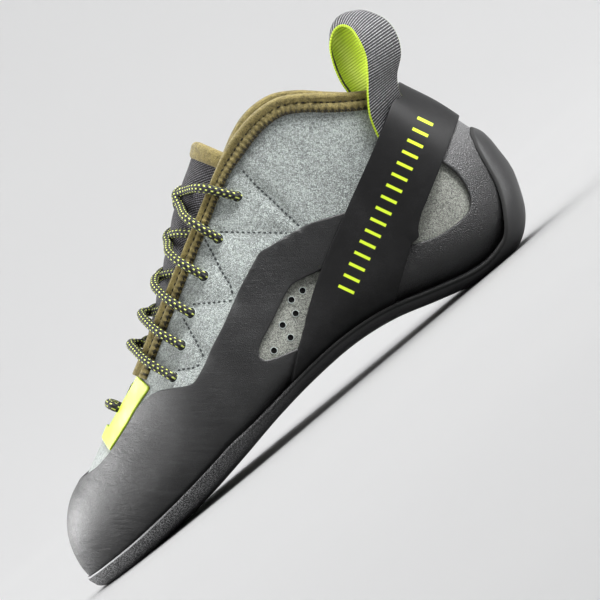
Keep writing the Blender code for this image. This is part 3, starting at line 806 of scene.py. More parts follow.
def sized(label, default, text, low=0.0, high=10.0, **more):
    return FloatProperty(name=label, description=text, default=default, min=low, max=high, **more)


def turned(label, degrees, text, low=-3.2, high=3.2):
    return sized(label, math.radians(degrees), text, low, high, subtype="ANGLE")


def powered(label, watts, text):
    return sized(label, watts, text, 0.0, 2000.0, unit="POWER")


def coloured(label, default, text):
    return FloatVectorProperty(name=label, description=text, default=default, subtype="COLOR", size=3,
                               min=0.0, max=1.0)


class ShoeColours(bpy.types.PropertyGroup):
    """Colours of the shoe's materials."""

    suede: coloured("Suede", (0.235, 0.260, 0.249), "Mean colour of the grey suede")
    felt: coloured("Heel window", (0.165, 0.172, 0.150), "Colour in the heel's window")
    rubber: coloured("Rand rubber", (0.011, 0.011, 0.0114), "Rubber round the toe and sides")
    band: coloured("Band rubber", (0.008, 0.008, 0.0083), "Rubber of the tension band")
    heel: coloured("Heel rubber", (0.014, 0.014, 0.0145), "Rubber round the heel cup")
    sole: coloured("Sole rubber", (0.024, 0.024, 0.025), "Rubber of the outsole")
    tape: coloured("Tape", (0.150, 0.120, 0.040), "Folded tape of the collar and throat")
    lime: coloured("Lime", (0.56, 0.74, 0.035), "Lime strip, loop and flecks")
    weave: coloured("Tongue weave", (0.017, 0.016, 0.018), "Woven sheet of the tongue")
    lace: coloured("Lace", (0.009, 0.009, 0.010), "Ground colour of the lace")
    lining: coloured("Lining", (0.30, 0.29, 0.25), "Inside of the upper")


class StageSettings(bpy.types.PropertyGroup):
    """Camera, lights and backdrop."""

    distance: sized("Camera distance", 2.2, "From the shoe's middle", 0.3, 10.0, unit="LENGTH")
    azimuth: turned("Azimuth", 0.0, "Round the shoe from its outer side")
    elevation: turned("Elevation", 1.4, "Above the floor", 0.0, 1.5)
    roll: turned("Roll", 39.6, "Turn of the camera about its own axis")
    width: sized("View width", 0.2535, "Width of the view at the shoe", 0.05, 2.0, unit="LENGTH")
    ceiling_power: powered("Ceiling light", 150.0, "Wide light over the whole floor")
    key_power: powered("Key light", 18.0, "Soft light in front of the toe and over it")
    edge_power: powered("Edge light", 36.0, "Soft light in front of the toe and behind it")
    fill_power: powered("Fill light", 2.0, "Soft light beside the camera")
    rim_power: powered("Rim light", 50.0, "Light above and behind the heel")
    back_power: powered("Back light", 19.0, "Low soft light behind the heel")
    sky: sized("Room light", 0.10, "Even light of the room", 0.0, 5.0)


class MeshDetail(bpy.types.PropertyGroup):
    """How finely the pieces are divided."""

    rows: IntProperty(name="Rows", description="Divisions along the last", default=230, min=40, max=400)
    columns: IntProperty(name="Columns", description="Divisions round the last", default=190, min=40, max=400)
    cord_sides: IntProperty(name="Cord sides", description="Sides of the lace", default=14, min=6, max=32)


def suede_finish(colours):
    """Grey suede with fine fibres, and the lining on its inner face."""
    suede = Finish("suede", roughness=0.72, specular_ior_level=0.4, sheen_weight=0.35,
                   sheen_roughness=0.5)
    fibres = suede.noise(1350.0, 3.0, 0.65, suede.place((2.0, 1.0, 0.9), (0.0, 0.5, 0.0)), 1.4)
    crossing = suede.noise(1600.0, 3.0, 0.65, suede.place((0.9, 1.0, 2.0), (0.0, 0.4, 0.0)), 1.2)
    clouds = suede.noise(38.0, 3.0, 0.55)
    grain = suede.noise(2600.0, 2.0, 0.6)
    nap = (fibres - 0.5) * 2.2 + (crossing - 0.5) * 2.0 + (grain - 0.5) * 2.0 + (clouds - 0.5) * 0.6 + 0.5
    base = tuple(colours.suede)
    dark = times(base, 0.42)
    light = times(base, 1.9)
    shade = suede.ramp(nap, [(0.08, dark), (0.5, base), (0.92, light)])
    x, _, z = suede.axes()
    felt = suede.mix((nap * 1.3 - 0.15).clamped(), times(colours.felt, 0.40),
                     times(colours.felt, 1.9))
    heel_window = x.over(0.062, 0.004) * (1.0 - z.over(0.058, 0.004))
    vent_window = x.over(-0.016, 0.004) * (1.0 - z.over(0.0525, 0.002))
    shade = suede.mix((heel_window + vent_window).clamped(), shade, felt)
    lining = suede.mix(clouds, times(colours.lining, 0.8), tuple(colours.lining))
    suede.colour(suede.mix(suede.attribute("lining").over(0.5, 0.1), shade, lining))
    suede.bump(fibres * 0.5 + crossing * 0.5 + grain * 0.3, 0.00110, 1.0)
    return suede.material


def rubber_finish(name, base, roughness, grain_depth, brushed, dust, gloss=0.42):
    """Moulded rubber: fine grain, faint rubbed streaks and a dusty bloom."""
    rubber = Finish(name, roughness=roughness, specular_ior_level=gloss)
    grain = rubber.noise(2400.0, 3.0, 0.6)
    streaks = rubber.noise(420.0, 4.0, 0.7, rubber.place((9.0, 2.0, 0.8), (0.0, 0.69, 0.0)), 0.3)
    if brushed > 0.5:
        x, _, _ = rubber.axes()
        streaks = (streaks - 0.5) * (1.0 - x.over(-0.050, 0.070) * 0.75) + 0.5
    bloom = rubber.noise(30.0, 5.0, 0.6, None, 0.4)
    marks = rubber.noise(150.0, 4.0, 0.65, None, 0.8)
    share = (bloom - 0.5) * dust + (marks - 0.5) * dust * 0.6 + (streaks - 0.5) * brushed
    share = share + (grain - 0.5) * 0.5 + 0.45
    light = times(base, 2.1, 0.012)
    dark = times(base, 0.45)
    rubber.colour(rubber.ramp(share, [(0.05, dark), (0.45, tuple(base)), (0.95, light)]))
    uneven = (streaks - 0.5) * 0.3 * brushed + (bloom - 0.5) * 0.3 + (grain - 0.5) * 0.2
    rubber.rough((uneven + roughness).clamped())
    rubber.bump(grain * 0.4 + streaks * brushed + marks * 0.25, grain_depth, 0.9)
    return rubber


def band_finish(colours):
    """Band rubber, with a plain row of short lime bars on the outer side."""
    band = rubber_finish("band_rubber", colours.band, 0.50, 0.00008, 0.1, 0.5, 0.16)
    x, y, z = band.axes()
    lean, pitch, (middle_x, middle_z) = math.radians(25.0), 0.0052, (0.0730, 0.0500)
    across = (z - middle_z) * math.cos(lean) - (x - middle_x) * math.sin(lean)
    along = (x - middle_x) * math.cos(lean) + (z - middle_z) * math.sin(lean)
    bars = (along / pitch).fraction() - 0.5
    inside = (0.12 - bars.absolute()).over(0.0, 0.05) * (0.0036 - across.absolute()).over(0.0, 0.0003)
    inside = inside * (0.0425 - along.absolute()).over(0.0, 0.0002) * (0.0 - y).over(0.0, 0.001)
    band.colour(band.mix(inside, band.present(), tuple(colours.lime)))
    return band.material


def heel_finish(colours):
    """Pebbled, glossy rubber of the heel cup, painted paler towards its top as a highlight."""
    heel = rubber_finish("heel_rubber", colours.heel, 0.30, 0.00012, 0.05, 0.3)
    pebbles = heel.cells(2000.0, heel.place((1.5, 1.0, 1.0), (0.0, 0.9, 0.0)))
    swell = heel.noise(2300.0, 3.0, 0.6)
    heel.bump(pebbles * 0.7 + swell * 0.9, 0.00032, 1.0)
    _, _, z = heel.axes()
    # Painted highlight: a pale, grainy patch over the heel cup's upper part stands in for its gloss
    # highlight.
    heel_highlight = z.over(0.045, 0.026) * (swell * 1.6 - 0.15).clamped()
    heel.colour(heel.mix(heel_highlight, heel.present(), (0.125, 0.125, 0.127)))
    return heel.material


def sole_finish(colours):
    """Sole rubber: sanded along the toe's edge, where its top edge gets a painted highlight; behind, smooth,
    with a painted shade line along the top edge and painted darker round the heel as shade.
    """
    sole = rubber_finish("sole_rubber", colours.sole, 0.52, 0.00008, 0.1, 0.5)
    edge, (x, _, _) = sole.attribute("edge"), sole.axes()
    sanded = (1.0 - edge.over(0.0070, 0.0020)) * (1.0 - x.over(-0.035, 0.075))
    specks = sole.noise(2000.0, 4.0, 0.8).over(0.54, 0.12)
    rough = sole.mix(specks, (0.016, 0.016, 0.017), (0.34, 0.34, 0.345))
    # Painted highlight: a pale line on the sole's top edge towards the toe.
    toe_edge_highlight = (1.0 - edge.over(0.0004, 0.0002)) * (1.0 - x.over(-0.085, 0.030))
    # Painted shade: a dark line in the gap along the sole's top edge, behind the toe; the same band is also
    # rougher.
    edge_gap_shade = (1.0 - edge.over(0.0010, 0.0006)) * x.over(-0.080, 0.030)
    # Painted shade: the wrap round the heel is mixed halfway to near black, for its rear-facing side.
    heel = x.over(0.092, 0.010)
    plain = sole.mix((edge_gap_shade + heel * 0.5).clamped(), sole.present(), (0.003, 0.003, 0.003))
    sole.colour(sole.mix(toe_edge_highlight * 0.7, sole.mix(sanded * 0.9, plain, rough), (0.45, 0.45, 0.46)))
    sole.rough((sanded * 0.25 + edge_gap_shade * 0.4 - heel * 0.06 + 0.5).clamped())
    sole.bump(sole.noise(1300.0, 4.0, 0.7) * sanded + sole.noise(2500.0) * 0.15, 0.0004, 0.9)
    return sole.material


def tape_finish(colours):
    """Folded olive tape with a soft pile and rows of pits, painted lighter on the throat as light and darker
    in its groove and pits as shade.
    """
    tape = Finish("olive_tape", roughness=0.85, specular_ior_level=0.3, sheen_weight=0.12)
    pile = tape.noise(2000.0, 3.0, 0.7)
    patch = tape.noise(420.0, 3.0, 0.6, None, 0.6)
    clouds = tape.noise(60.0, 3.0)
    x, _, _ = tape.axes()
    share = (pile - 0.5) * 1.8 + (patch - 0.5) * 1.1 + (clouds - 0.5) * 0.5 + 0.5
    # Painted light: the tape ahead of the collar, on the throat, is pushed towards its lighter colours.
    share = share + (1.0 - x.over(0.020, 0.030)) * 0.25
    base = tuple(colours.tape)
    dark, light = times(base, 0.40), times(base, 1.60)
    place = tape.attribute("tape_share")
    rib = (tape.attribute("tape_along") * (2 * math.pi / 0.0026) + patch * 2.4).sine() * 0.5 + 0.5
    flap = place.over(0.60, 0.06)
    groove = 1.0 - ((place - TAPE_GROOVE).absolute() * 14.0).clamped()
    hem = place.over(0.88, 0.14)
    pits = (1.0 - rib).over(0.60, 0.5)
    # Painted shade: darker in the stitched groove and in the pits of the rolls.
    groove_and_pit_shade = pits * flap * 0.25 + groove * 0.40 + pits * hem * 0.9
    soft = tape.ramp(share, [(0.1, dark), (0.5, base), (0.95, light)])
    tape.colour(tape.mix(groove_and_pit_shade.clamped(), soft, times(base, 0.16)))
    tape.bump(pile * 0.45 + patch * 0.6 + rib * flap * 0.45, 0.0008, 1.0)
    return tape.material


def weave_finish(colours):
    """Diagonal twill of the tongue."""
    weave = Finish("tongue_weave", roughness=0.75, specular_ior_level=0.35)
    x, y, z = weave.axes()
    along = x * 0.86 + z * 0.51
    twill = ((along + y * 0.9) * 5200.0).sine() * 0.5 + 0.5
    yarn = ((along * 0.6 - y) * 7400.0).sine() * 0.5 + 0.5
    fuzz = weave.noise(900.0, 3.0, 0.6)
    share = twill * 0.75 + yarn * 0.3 + (fuzz - 0.5) * 0.9 - 0.10
    base = tuple(colours.weave)
    weave.colour(weave.ramp(share, [(0.15, times(base, 0.35)), (0.55, base),
                                    (0.95, times(base, 7.5))]))
    weave.bump(twill * 0.8 + yarn * 0.3, 0.0004, 1.0)
    return weave.material


def lime_finish(colours):
    """Smooth coated strip."""
    lime = Finish("lime_strip", roughness=0.45, coat_weight=0.15, coat_roughness=0.3)
    clouds = lime.noise(170.0, 3.0, 0.5)
    grain = lime.noise(2200.0, 2.0)
    base = times(colours.lime, 0.80)
    share = (clouds - 0.5) * 1.8 + (grain - 0.5) * 0.3 + 0.5
    lime.colour(lime.ramp(share, [(0.1, times(base, 0.72)), (0.5, base),
                                  (0.95, times(base, 1.25, 0.06))]))
    lime.bump(clouds + grain * 0.2, 0.0002, 0.5)
    return lime.material


def lace_finish(colours):
    """Braided cord with lime flecks in rows."""
    lace = Finish("lace_braid", roughness=0.72, specular_ior_level=0.35)
    along, across = lace.strand()
    u, v = along * 800.0, across * 14.0
    braid = ((u * 3.1416 + v * 3.1416).sine() * 0.5 + 0.5) * ((u * 3.1416 - v * 3.1416).sine() * 0.5 + 0.5)
    row = (v * 0.5).math("FLOOR")
    fleck_u = (u * 0.5 + row * 0.5).fraction() - 0.5
    fleck_v = (v * 0.5).fraction() - 0.5
    fleck = (0.18 - fleck_u.absolute()).over(0.0, 0.10) * (0.19 - fleck_v.absolute()).over(0.0, 0.1)
    ground = lace.mix(braid, times(colours.lace, 0.35), times(colours.lace, 4.0))
    yarn = lace.mix(lace.noise(1800.0), (0.32, 0.38, 0.05), (0.80, 0.86, 0.22))
    lace.colour(lace.mix(fleck, ground, yarn))
    lace.bump(braid + fleck * 0.5, 0.0003, 0.9)
    return lace.material


def webbing_finish(colours):
    """Ribbed webbing: grey ribs outside, lime inside and along its edges, with a painted highlight on the
    inner ribs.
    """
    web = Finish("loop_webbing", roughness=0.7, specular_ior_level=0.3)
    along, across = web.strand()
    rib = (along * (2 * math.pi / 0.00115)).sine() * 0.5 + 0.5
    thread = web.noise(2600.0, 2.0)
    rims = (across - 0.5).absolute().over(0.482, 0.008)
    inner = web.attribute("lining").over(0.5, 0.1)
    share = rib * 0.8 + (thread - 0.5) * 0.7 + 0.1
    outside = web.ramp(share, [(0.35, (0.010, 0.010, 0.011)), (0.7, (0.04, 0.04, 0.042)),
                               (1.0, (0.36, 0.36, 0.37))])
    lime, deep = tuple(colours.lime), times(colours.lime, 0.45)
    bright = web.mix((rib * 0.6 + thread * 0.5).clamped(), deep, lime)
    # Painted highlight: a paler yellow band along the ribs of the inner face.
    inner_rib_highlight = (1.0 - (across - 0.42).absolute() * 3.4).clamped() * (1.0 - rims) * rib
    bright = web.mix(inner_rib_highlight * 0.6, bright, (0.80, 0.86, 0.26))
    border = (across - 0.5).absolute().over(0.43, 0.02) * inner
    bright = web.mix(border * (1.0 - rims), bright, (0.014, 0.014, 0.015))
    web.colour(web.mix((rims + inner).clamped(), outside, bright))
    web.bump(rib * 0.8 + thread * 0.2, 0.0003, 0.8)
    return web.material


def plain_finish(name, base, roughness, scale=900.0, depth=0.0002):
    """A matt finish with a little grain."""
    made = Finish(name, roughness=roughness, specular_ior_level=0.3)
    grain = made.noise(scale, 3.0, 0.6)
    made.colour(made.mix(grain, times(base, 0.7), times(base, 1.25)))
    made.bump(grain, depth, 0.6)
    return made.material


def detail():
    return bpy.context.scene.shoe_detail


def colours():
    return bpy.context.scene.shoe_colours


def sole_shape(turn, angle, height, square=0.0):
    """The outsole's outer form: squared below, pressed flat where it stands."""
    points = grown(turn, angle, height, square)
    drop = LIFT - SOLE_SIDE + FLAT_DEPTH
    share = np.clip(np.reshape(height, -1) / SOLE_SIDE, 0, 1)
    points[:, 2] += share * drop * np.minimum(0.0, np.sin(angle))
    points[:, 2] = np.where(share > 0.5, np.maximum(0.0, points[:, 2]), points[:, 2])
    return points


def collar_rise(x):
    """How much higher the collar stands on its inner side."""
    return COLLAR_RISE * np.exp(-((np.asarray(x) - 0.066) / 0.026) ** 4)


def levelled(points):
    """Points with the inner collar's extra height taken off."""
    lower = points.copy()
    lower[:, 2] -= collar_rise(points[:, 0]) * blend(0, 1, (points[:, 1] + 0.008) / 0.016)
    return lower


def upper_region(points):
    """All of the last but the throat, the collar's mouth and the middle underneath."""
    open_top = depth_in(levelled(points), above(top_line()))
    row = section_at(turn_of(np.clip(points[:, 0] / LAST_LENGTH + 0.5, 0.02, 0.98)))
    beside = np.abs(points[:, 1] - row.centre) - (row.half - LASTING_MARGIN)
    under = np.maximum(beside, points[:, 2] - row.bottom - 2 * WALL)
    return np.minimum(-open_top, under)


def sole_region(points):
    return depth_in(points, below(sole_line()))


def rand_region(points):
    """Round the toe and along the sides, from the sole's edge to the rand's top."""
    under_top = depth_in(points, below(curve(RAND_TOP)))
    over_sole = -depth_in(points, below(shifted(sole_line(), -MILLIMETRE)))
    end = shifted(curve(BAND_FRONT), BAND_LAP)
    before = -depth_in(points, behind(end))
    return np.minimum.reduce([under_top, over_sole, before, -depth_in(points, curve(VENT_WINDOW))])


def heel_rand_region(points):
    """Behind the band's front edge, under the collar's tape and over the sole."""
    rear = depth_in(points, behind(shifted(curve(BAND_FRONT), BAND_MARGIN)))
    hem = depth_in(points, below(hem_line(GAP)))
    floor = -depth_in(points, below(shifted(sole_line(), -MILLIMETRE)))
    window = -depth_in(points, curve(HEEL_WINDOW))
    return np.minimum.reduce([rear, hem, floor, window])


def band_region(points):
    """Between the band's two edges, down to the sole."""
    band = depth_in(points, np.concatenate([curve(BAND_FRONT), curve(BAND_REAR)[::-1]]))
    return np.minimum(band, -depth_in(points, below(sole_line() + (0, GAP))))


def patch_region(points):
    lower, edge = side_points(PATCH_LOWER), side_points(THROAT_EDGE)
    roof = [[edge[0, 0], INSTEP_HEIGHT], [lower[0, 0], INSTEP_HEIGHT]]
    return depth_in(points, np.concatenate([lower, edge[2::-1], roof]))


def tape_depths(points):
    """Distances inside the tape from its fold over the edge, its hem and its front end."""
    points = levelled(points)
    fold = shifted(top_line(), GAP + TAPE_THICKNESS)
    start = side_points(THROAT_EDGE[2:3])[0]
    ahead = unit_rows(side_points(THROAT_EDGE[3:4]) - start)[0]
    past_start = (points[:, 0] - start[0]) * ahead[0] + (points[:, 2] - start[1]) * ahead[1]
    return depth_in(points, below(fold)), -depth_in(points, below(hem_line())), past_start


def tape_region(points):
    return np.minimum.reduce(tape_depths(points))


def tape_outside(points, depth):
    """A puffed roll over the edge, a stitched groove and a thin flap."""
    fold = tape_depths(points)[0]
    share = fold / (tape_width(points[:, 0]) + TAPE_THICKNESS)
    roll = 0.0011 * hump(share, 0.25, 0.20)
    groove = 0.0009 * hump(share, TAPE_GROOVE, 0.065)
    flap = 0.0008 * hump(share, 0.76, 0.14)
    return GAP + TAPE_THICKNESS + roll - groove + flap - rounded(fold, 0.0022)


def tape_floats(points):
    """Length along the tape and share of its width, for the finish."""
    line = top_line()
    lengths = lengths_along(line)
    away = np.linalg.norm(points[:, None, [0, 2]] - line[None, :, :], axis=2)
    nearest = np.clip(away.argmin(axis=1), 1, len(line) - 2)
    ahead = unit_rows(line[nearest + 1] - line[nearest - 1])
    along = lengths[nearest] + np.sum((points[:, [0, 2]] - line[nearest]) * ahead, axis=1)
    fold = tape_depths(points)[0]
    return {"tape_along": along, "tape_share": fold / (tape_width(points[:, 0]) + TAPE_THICKNESS)}


def tape_inside(points, depth):
    fold = tape_depths(points)[0]
    return -WALL - GAP - TAPE_THICKNESS + rounded(fold, 0.0018)


def tongue_base():
    """The tongue's end in side view, its direction and the line of its lower edge."""
    low = shifted(curve(THROAT_EDGE), -TONGUE_UNDERLAP)
    end = side_points([TONGUE_END])[0]
    slope = unit_rows(low[-1:] - low[-10:-9])[0]
    across = np.array([-slope[1], slope[0]])
    base = end - across * np.dot(across, end - low[-1])
    return low, end, slope, across, base


def tongue_outline(start, stop):
    """Between two distances back from the tongue's end."""
    _, end, slope, across, base = tongue_base()
    roof = end + across * LOOP_HEIGHT
    return np.array([base - slope * start, base - slope * stop, roof - slope * stop, roof - slope * start])


def tongue_region(points):
    low, end, slope, across, base = tongue_base()
    stop = TONGUE_TAPE - 0.002
    body = low[low[:, 0] < (base - slope * stop)[0] - MILLIMETRE]
    roof = end + across * LOOP_HEIGHT
    outline = np.concatenate([body, [base - slope * stop, roof - slope * stop, [body[0, 0], roof[1]]]])
    return depth_in(points, outline)


def tongue_puff(points, depth):
    """How far the tongue swells out between the strands of the lace."""
    strands = np.concatenate([part[0][:: detail().cord_sides] for part in lace_parts()])[::3]
    near = np.full(len(points), 1e9)
    for strand in strands:
        near = np.minimum(near, np.sum((points - strand) ** 2, axis=1))
    free = 1 - np.exp(-near / 0.0034 ** 2)
    along = np.exp(-((points[:, 0] + 0.010) / 0.024) ** 4)
    inside = blend(0, 1, (depth_in(points, above(top_line())) - 0.002) / 0.008)
    return (0.0006 * free * along - 0.0008 * (1 - free)) * inside


def tongue_outside(points, depth):
    return TONGUE_SKIN + tongue_puff(points, depth)


def tongue_inside(points, depth):
    return TONGUE_SKIN - TONGUE_THICKNESS + 0.7 * tongue_puff(points, depth)


def tube(points, radius, sides):
    """Rings round a line of points, closed at its ends, with lengths and places round it."""
    ahead = unit_rows(np.gradient(points, axis=0))
    side = np.cross(ahead[0], (0.0, 0.0, 1.0))
    frames = []
    for direction in ahead:
        side = unit_rows(side - direction * np.dot(side, direction))
        frames.append((side, np.cross(direction, side)))
    lengths = lengths_along(points)
    angles = np.linspace(0, 2 * math.pi, sides, endpoint=False)
    rings, strand = [], []
    for point, (side, up), length in zip(points, frames, lengths):
        rings.append(point + radius * (np.outer(np.cos(angles), side) + np.outer(np.sin(angles), up)))
        strand.append(np.stack([np.full(sides, length), np.arange(sides) / sides], axis=1))
    first, last = caps(len(points), sides)
    faces = ring_faces(len(points), sides, True) + [first[::-1], last]
    return np.concatenate(rings), faces, np.concatenate(strand)


def joined(parts):
    """Several lots of points and faces as one."""
    points, faces, strand, start = [], [], [], 0
    for spots, own_faces, *own_strand in parts:
        points.append(spots)
        faces += [[i + start for i in face] for face in own_faces]
        strand.append(own_strand[0] if own_strand else np.zeros((len(spots), 2)))
        start += len(spots)
    return np.concatenate(points), faces, np.concatenate(strand)


def resampled(points, spacing):
    """A line with points a fixed distance apart."""
    lengths = lengths_along(points)
    count = max(2, int(round(lengths[-1] / spacing)) + 1)
    at = np.linspace(0, lengths[-1], count)
    return rows_at(at, lengths, points)


def smoothed(points, rounds):
    for _ in range(rounds):
        points[1:-1] = (points[:-2] + 2 * points[1:-1] + points[2:]) / 4
    return points


def eyelet(number, inner):
    """A lace hole's place: (turn, angle) on one side."""
    turn, angle = surface_place(side_points([EYELETS[number]])[0], inner)
    return turn[0], angle[0]


def strand_heights(points, over):
    """Height of a lace's middle: over the tape or under it, and down on the tongue."""
    opening = depth_in(points, above(top_line()))
    radius = LACE_DIAMETER / 2
    tongue = TONGUE_SKIN + 0.0006
    tape = radius + GAP + TAPE_THICKNESS + 0.0011
    suede = radius + 0.0002
    on_upper = np.where(opening < -0.003, blend(tape, suede, (-opening - 0.005) / 0.003), tape)
    over_height = blend(on_upper, tongue, (opening - 0.002) / 0.010)
    under_height = blend(TONGUE_SKIN + 0.0002, tongue, (opening - 0.0005) / 0.006)
    return over_height if over else under_height


def crossing(start, end, start_over, end_over, high):
    """One lace strand between eyelets of opposite sides, as points over the tongue."""
    places = [eyelet(*start), eyelet(*end)]
    ends = [grown(*(np.array([part]) for part in place), 0.0)[0] for place in places]
    throat = side_points(THROAT_EDGE)
    rise = unit_rows(throat[-1:] - throat[2:3])[0]
    push = np.array([-rise[1], 0.0, rise[0]])
    share = np.linspace(0, 1, 41)
    base = ends[0] + (ends[1] - ends[0]) * share[:, None]
    turn, angle = (first + (last - first) * share for first, last in zip(*places))
    height = np.zeros(len(share))
    for _ in range(3):
        _, turn, angle = lifted(base, push, 0.0 * height, turn, angle, 6)
        points = grown(turn, angle, height)
        first, second = strand_heights(points, start_over), strand_heights(points, end_over)
        height = np.where(share < 0.5, first, second)
        height = height + (0.0009 if high else -0.0004) * hump(share, 0.5, 0.09)
    if start_over:
        height = np.where(share < 0.5, blend(-0.0012, 0.0, share / 0.09) + height, height)
    if end_over:
        height = np.where(share > 0.5, blend(-0.0012, 0.0, (1 - share) / 0.09) + height, height)
    points = smoothed(grown(turn, angle, height), 3)
    normals = last_normals(turn, angle)
    drops = []
    if start_over:
        drops.append(points[:1] - normals[:1] * HOLE_DEPTH * 1.3 + (points[:1] - points[2:3]) * 0.25)
    drops.append(points)
    if end_over:
        drops.append(points[-1:] - normals[-1:] * HOLE_DEPTH * 1.3 + (points[-1:] - points[-3:-2]) * 0.25)
    return np.concatenate(drops)


def lace_parts():
    """The lowest bar and the crossings, each from over the tape to under it."""
    last = len(EYELETS) - 1
    routes = [((last, False), (last, True), True, True, False)]
    for number in range(1, last):
        to_top = number == 1
        routes.append(((number, False), (number - 1, True), True, to_top, True))
        routes.append(((number, True), (number - 1, False), True, to_top, False))
    routes.append(((last, False), (last - 1, True), False, False, True))
    routes.append(((last, True), (last - 1, False), False, False, False))
    lines = [resampled(crossing(*route), LACE_SPACING) for route in routes]
    return [tube(line, LACE_DIAMETER / 2, detail().cord_sides) for line in lines]


def capsule(centre, ahead, normal, length, width, rise):
    """A short rounded thread lying on a surface."""
    sides, rings = 8, 7
    side = np.cross(normal, ahead)
    points = []
    for i in range(rings):
        share = -math.cos(math.pi * i / (rings - 1))
        reach = math.sqrt(max(0.0, 1 - share ** 4)) if 0 < i < rings - 1 else 0.12
        for j in range(sides):
            angle = 2 * math.pi * j / sides
            points.append(
                centre
                + ahead * share * length / 2
                + side * math.cos(angle) * reach * width / 2
                + normal * math.sin(angle) * reach * rise / 2
            )
    first, last = caps(rings, sides)
    return np.array(points), ring_faces(rings, sides) + [first, last[::-1]]


def stitches_along(line, pitch, height, length, width, rise, lean=0.0, collar=False):
    """Threads a pitch apart along a side view line, on both sides of the shoe."""
    parts = []
    for inner in (False, True):
        rise_here = collar_rise(line[:, 0]) * (1.0 if inner and collar else 0.0)
        turn, angle = surface_place(line + np.stack([0 * rise_here, rise_here], axis=1), inner)
        top = section_at(turn).top
        low = line[:, 1] < top - 0.0004
        if low.sum() < 2:
            continue
        turn, angle = turn[low], angle[low]
        path = grown(turn, angle, height + relief(last_points(turn, angle)))
        lengths = lengths_along(path)
        at = np.arange(pitch / 2, lengths[-1], pitch)
        turn, angle = np.interp(at, lengths, turn), np.interp(at, lengths, angle)
        centre = rows_at(at, lengths, path)
        normal = last_normals(turn, angle)
        ahead = rows_at(at, lengths, np.gradient(path, axis=0))
        ahead = unit_rows(ahead - normal * np.sum(ahead * normal, axis=1, keepdims=True))
        side = np.cross(normal, ahead)
        for i in range(len(at)):
            swing = lean * (1 if i % 2 else -1)
            direction = ahead[i] * math.cos(swing) + side[i] * math.sin(swing)
            parts.append(capsule(centre[i], direction, normal[i], length, width, rise))
    return parts


def disc(turn, angle, radius, rim, height):
    """A hole with a raised rim, as rings on the surface; its finish paints the middle dark as shade and the
    rim lighter as a highlight.
    """
    sides = 24
    centre = grown(np.array([turn]), np.array([angle]), 0.0)[0]
    normal = last_normals(np.array([turn]), np.array([angle]))[0]
    side = unit_rows(np.cross(normal, (1.0, 0.0, 0.3)))
    other = np.cross(normal, side)
    profile = [(radius * 0.05, 0.00005), (radius * 0.9, 0.00005), (radius, height),
               (radius + rim * 0.5, height), (radius + rim, -0.0004)]
    points = []
    for reach, _ in profile:
        for j in range(sides):
            way = 2 * math.pi * j / sides
            points.append(centre + (side * math.cos(way) + other * math.sin(way)) * reach)
    points = np.array(points)
    turns, angles = onto_last(points, np.full(len(points), turn), np.full(len(points), angle), 6)
    rises = np.repeat([rise for _, rise in profile], sides) + relief(points)
    points = grown(turns, angles, rises)
    faces = ring_faces(len(profile), sides) + [caps(len(profile), sides)[0][::-1]]
    shade = np.repeat([1.0, 1.0, 0.4, 0.0, 0.0], sides)
    return points, faces, np.stack([shade, shade], axis=1)


# The pull loop's near and far edge, from inside the collar over the top and down the
# outside: millimetres behind the toe tip, over the floor and across (outer side below
# nought) for each, and how far the webbing bulges between them
LOOP_ROWS = [
    (216.8, 95.5, -18.5, 232.6, 93.0, -8.0, 0.0), (217.6, 102.0, -18.0, 232.8, 100.7, -6.5, 0.5),
    (219.8, 109.3, -18.2, 236.0, 108.7, -6.5, 1.5), (223.3, 115.6, -19.0, 236.5, 116.1, -5.0, 3.0),
    (228.4, 119.6, -21.0, 238.5, 120.6, -5.0, 3.0), (232.6, 119.6, -24.0, 242.0, 120.5, -8.0, 1.8),
    (234.6, 116.1, -28.0, 245.5, 117.2, -12.5, 1.0), (233.9, 110.1, -31.0, 248.9, 109.6, -18.5, 0.6),
    (231.8, 103.5, -32.0, 248.3, 102.0, -21.5, 0.3), (227.8, 97.5, -32.5, 244.6, 95.0, -22.5, 0.2),
    (221.5, 89.6, -32.5, 238.0, 89.6, -22.5, 0.2), (217.2, 82.8, -32.0, 234.5, 84.2, -21.5, 0.2),
]
# Its feet lie on the shoe: side view millimetres of both edges, and height over the last
INNER_FOOT = [(218.5, 82.0, 233.0, 78.0, -7.0), (217.5, 89.0, 232.8, 85.5, -6.2)]
OUTER_FOOT = [
    (214.4, 75.0, 231.6, 78.6, 2.0), (213.4, 69.0, 229.6, 73.0, 1.25),
    (213.0, 64.0, 227.6, 67.0, 1.25),
]


def loop_edges():
    """The near and far edges of the webbing and its bulge."""

    def on_shoe(rows):
        rows = np.array(rows) * MILLIMETRE
        edges = [grown(*surface_place(rows[:, i : i + 2] - (LENGTH / 2, 0)), rows[:, 4]) for i in (0, 2)]
        return *edges, np.zeros((len(rows), 1))

    free = np.array(LOOP_ROWS) * MILLIMETRE
    near = free[:, [0, 2, 1]] - (LENGTH / 2, 0, 0)
    far = free[:, [3, 5, 4]] - (LENGTH / 2, 0, 0)
    inner, outer = on_shoe(INNER_FOOT), on_shoe(OUTER_FOOT)
    parts = [np.concatenate(three) for three in zip(inner, (near, far, free[:, 6:]), outer)]
    knots = np.arange(len(parts[0]))
    return [cubic(knots, part, np.linspace(0, knots[-1], 190)) for part in parts]


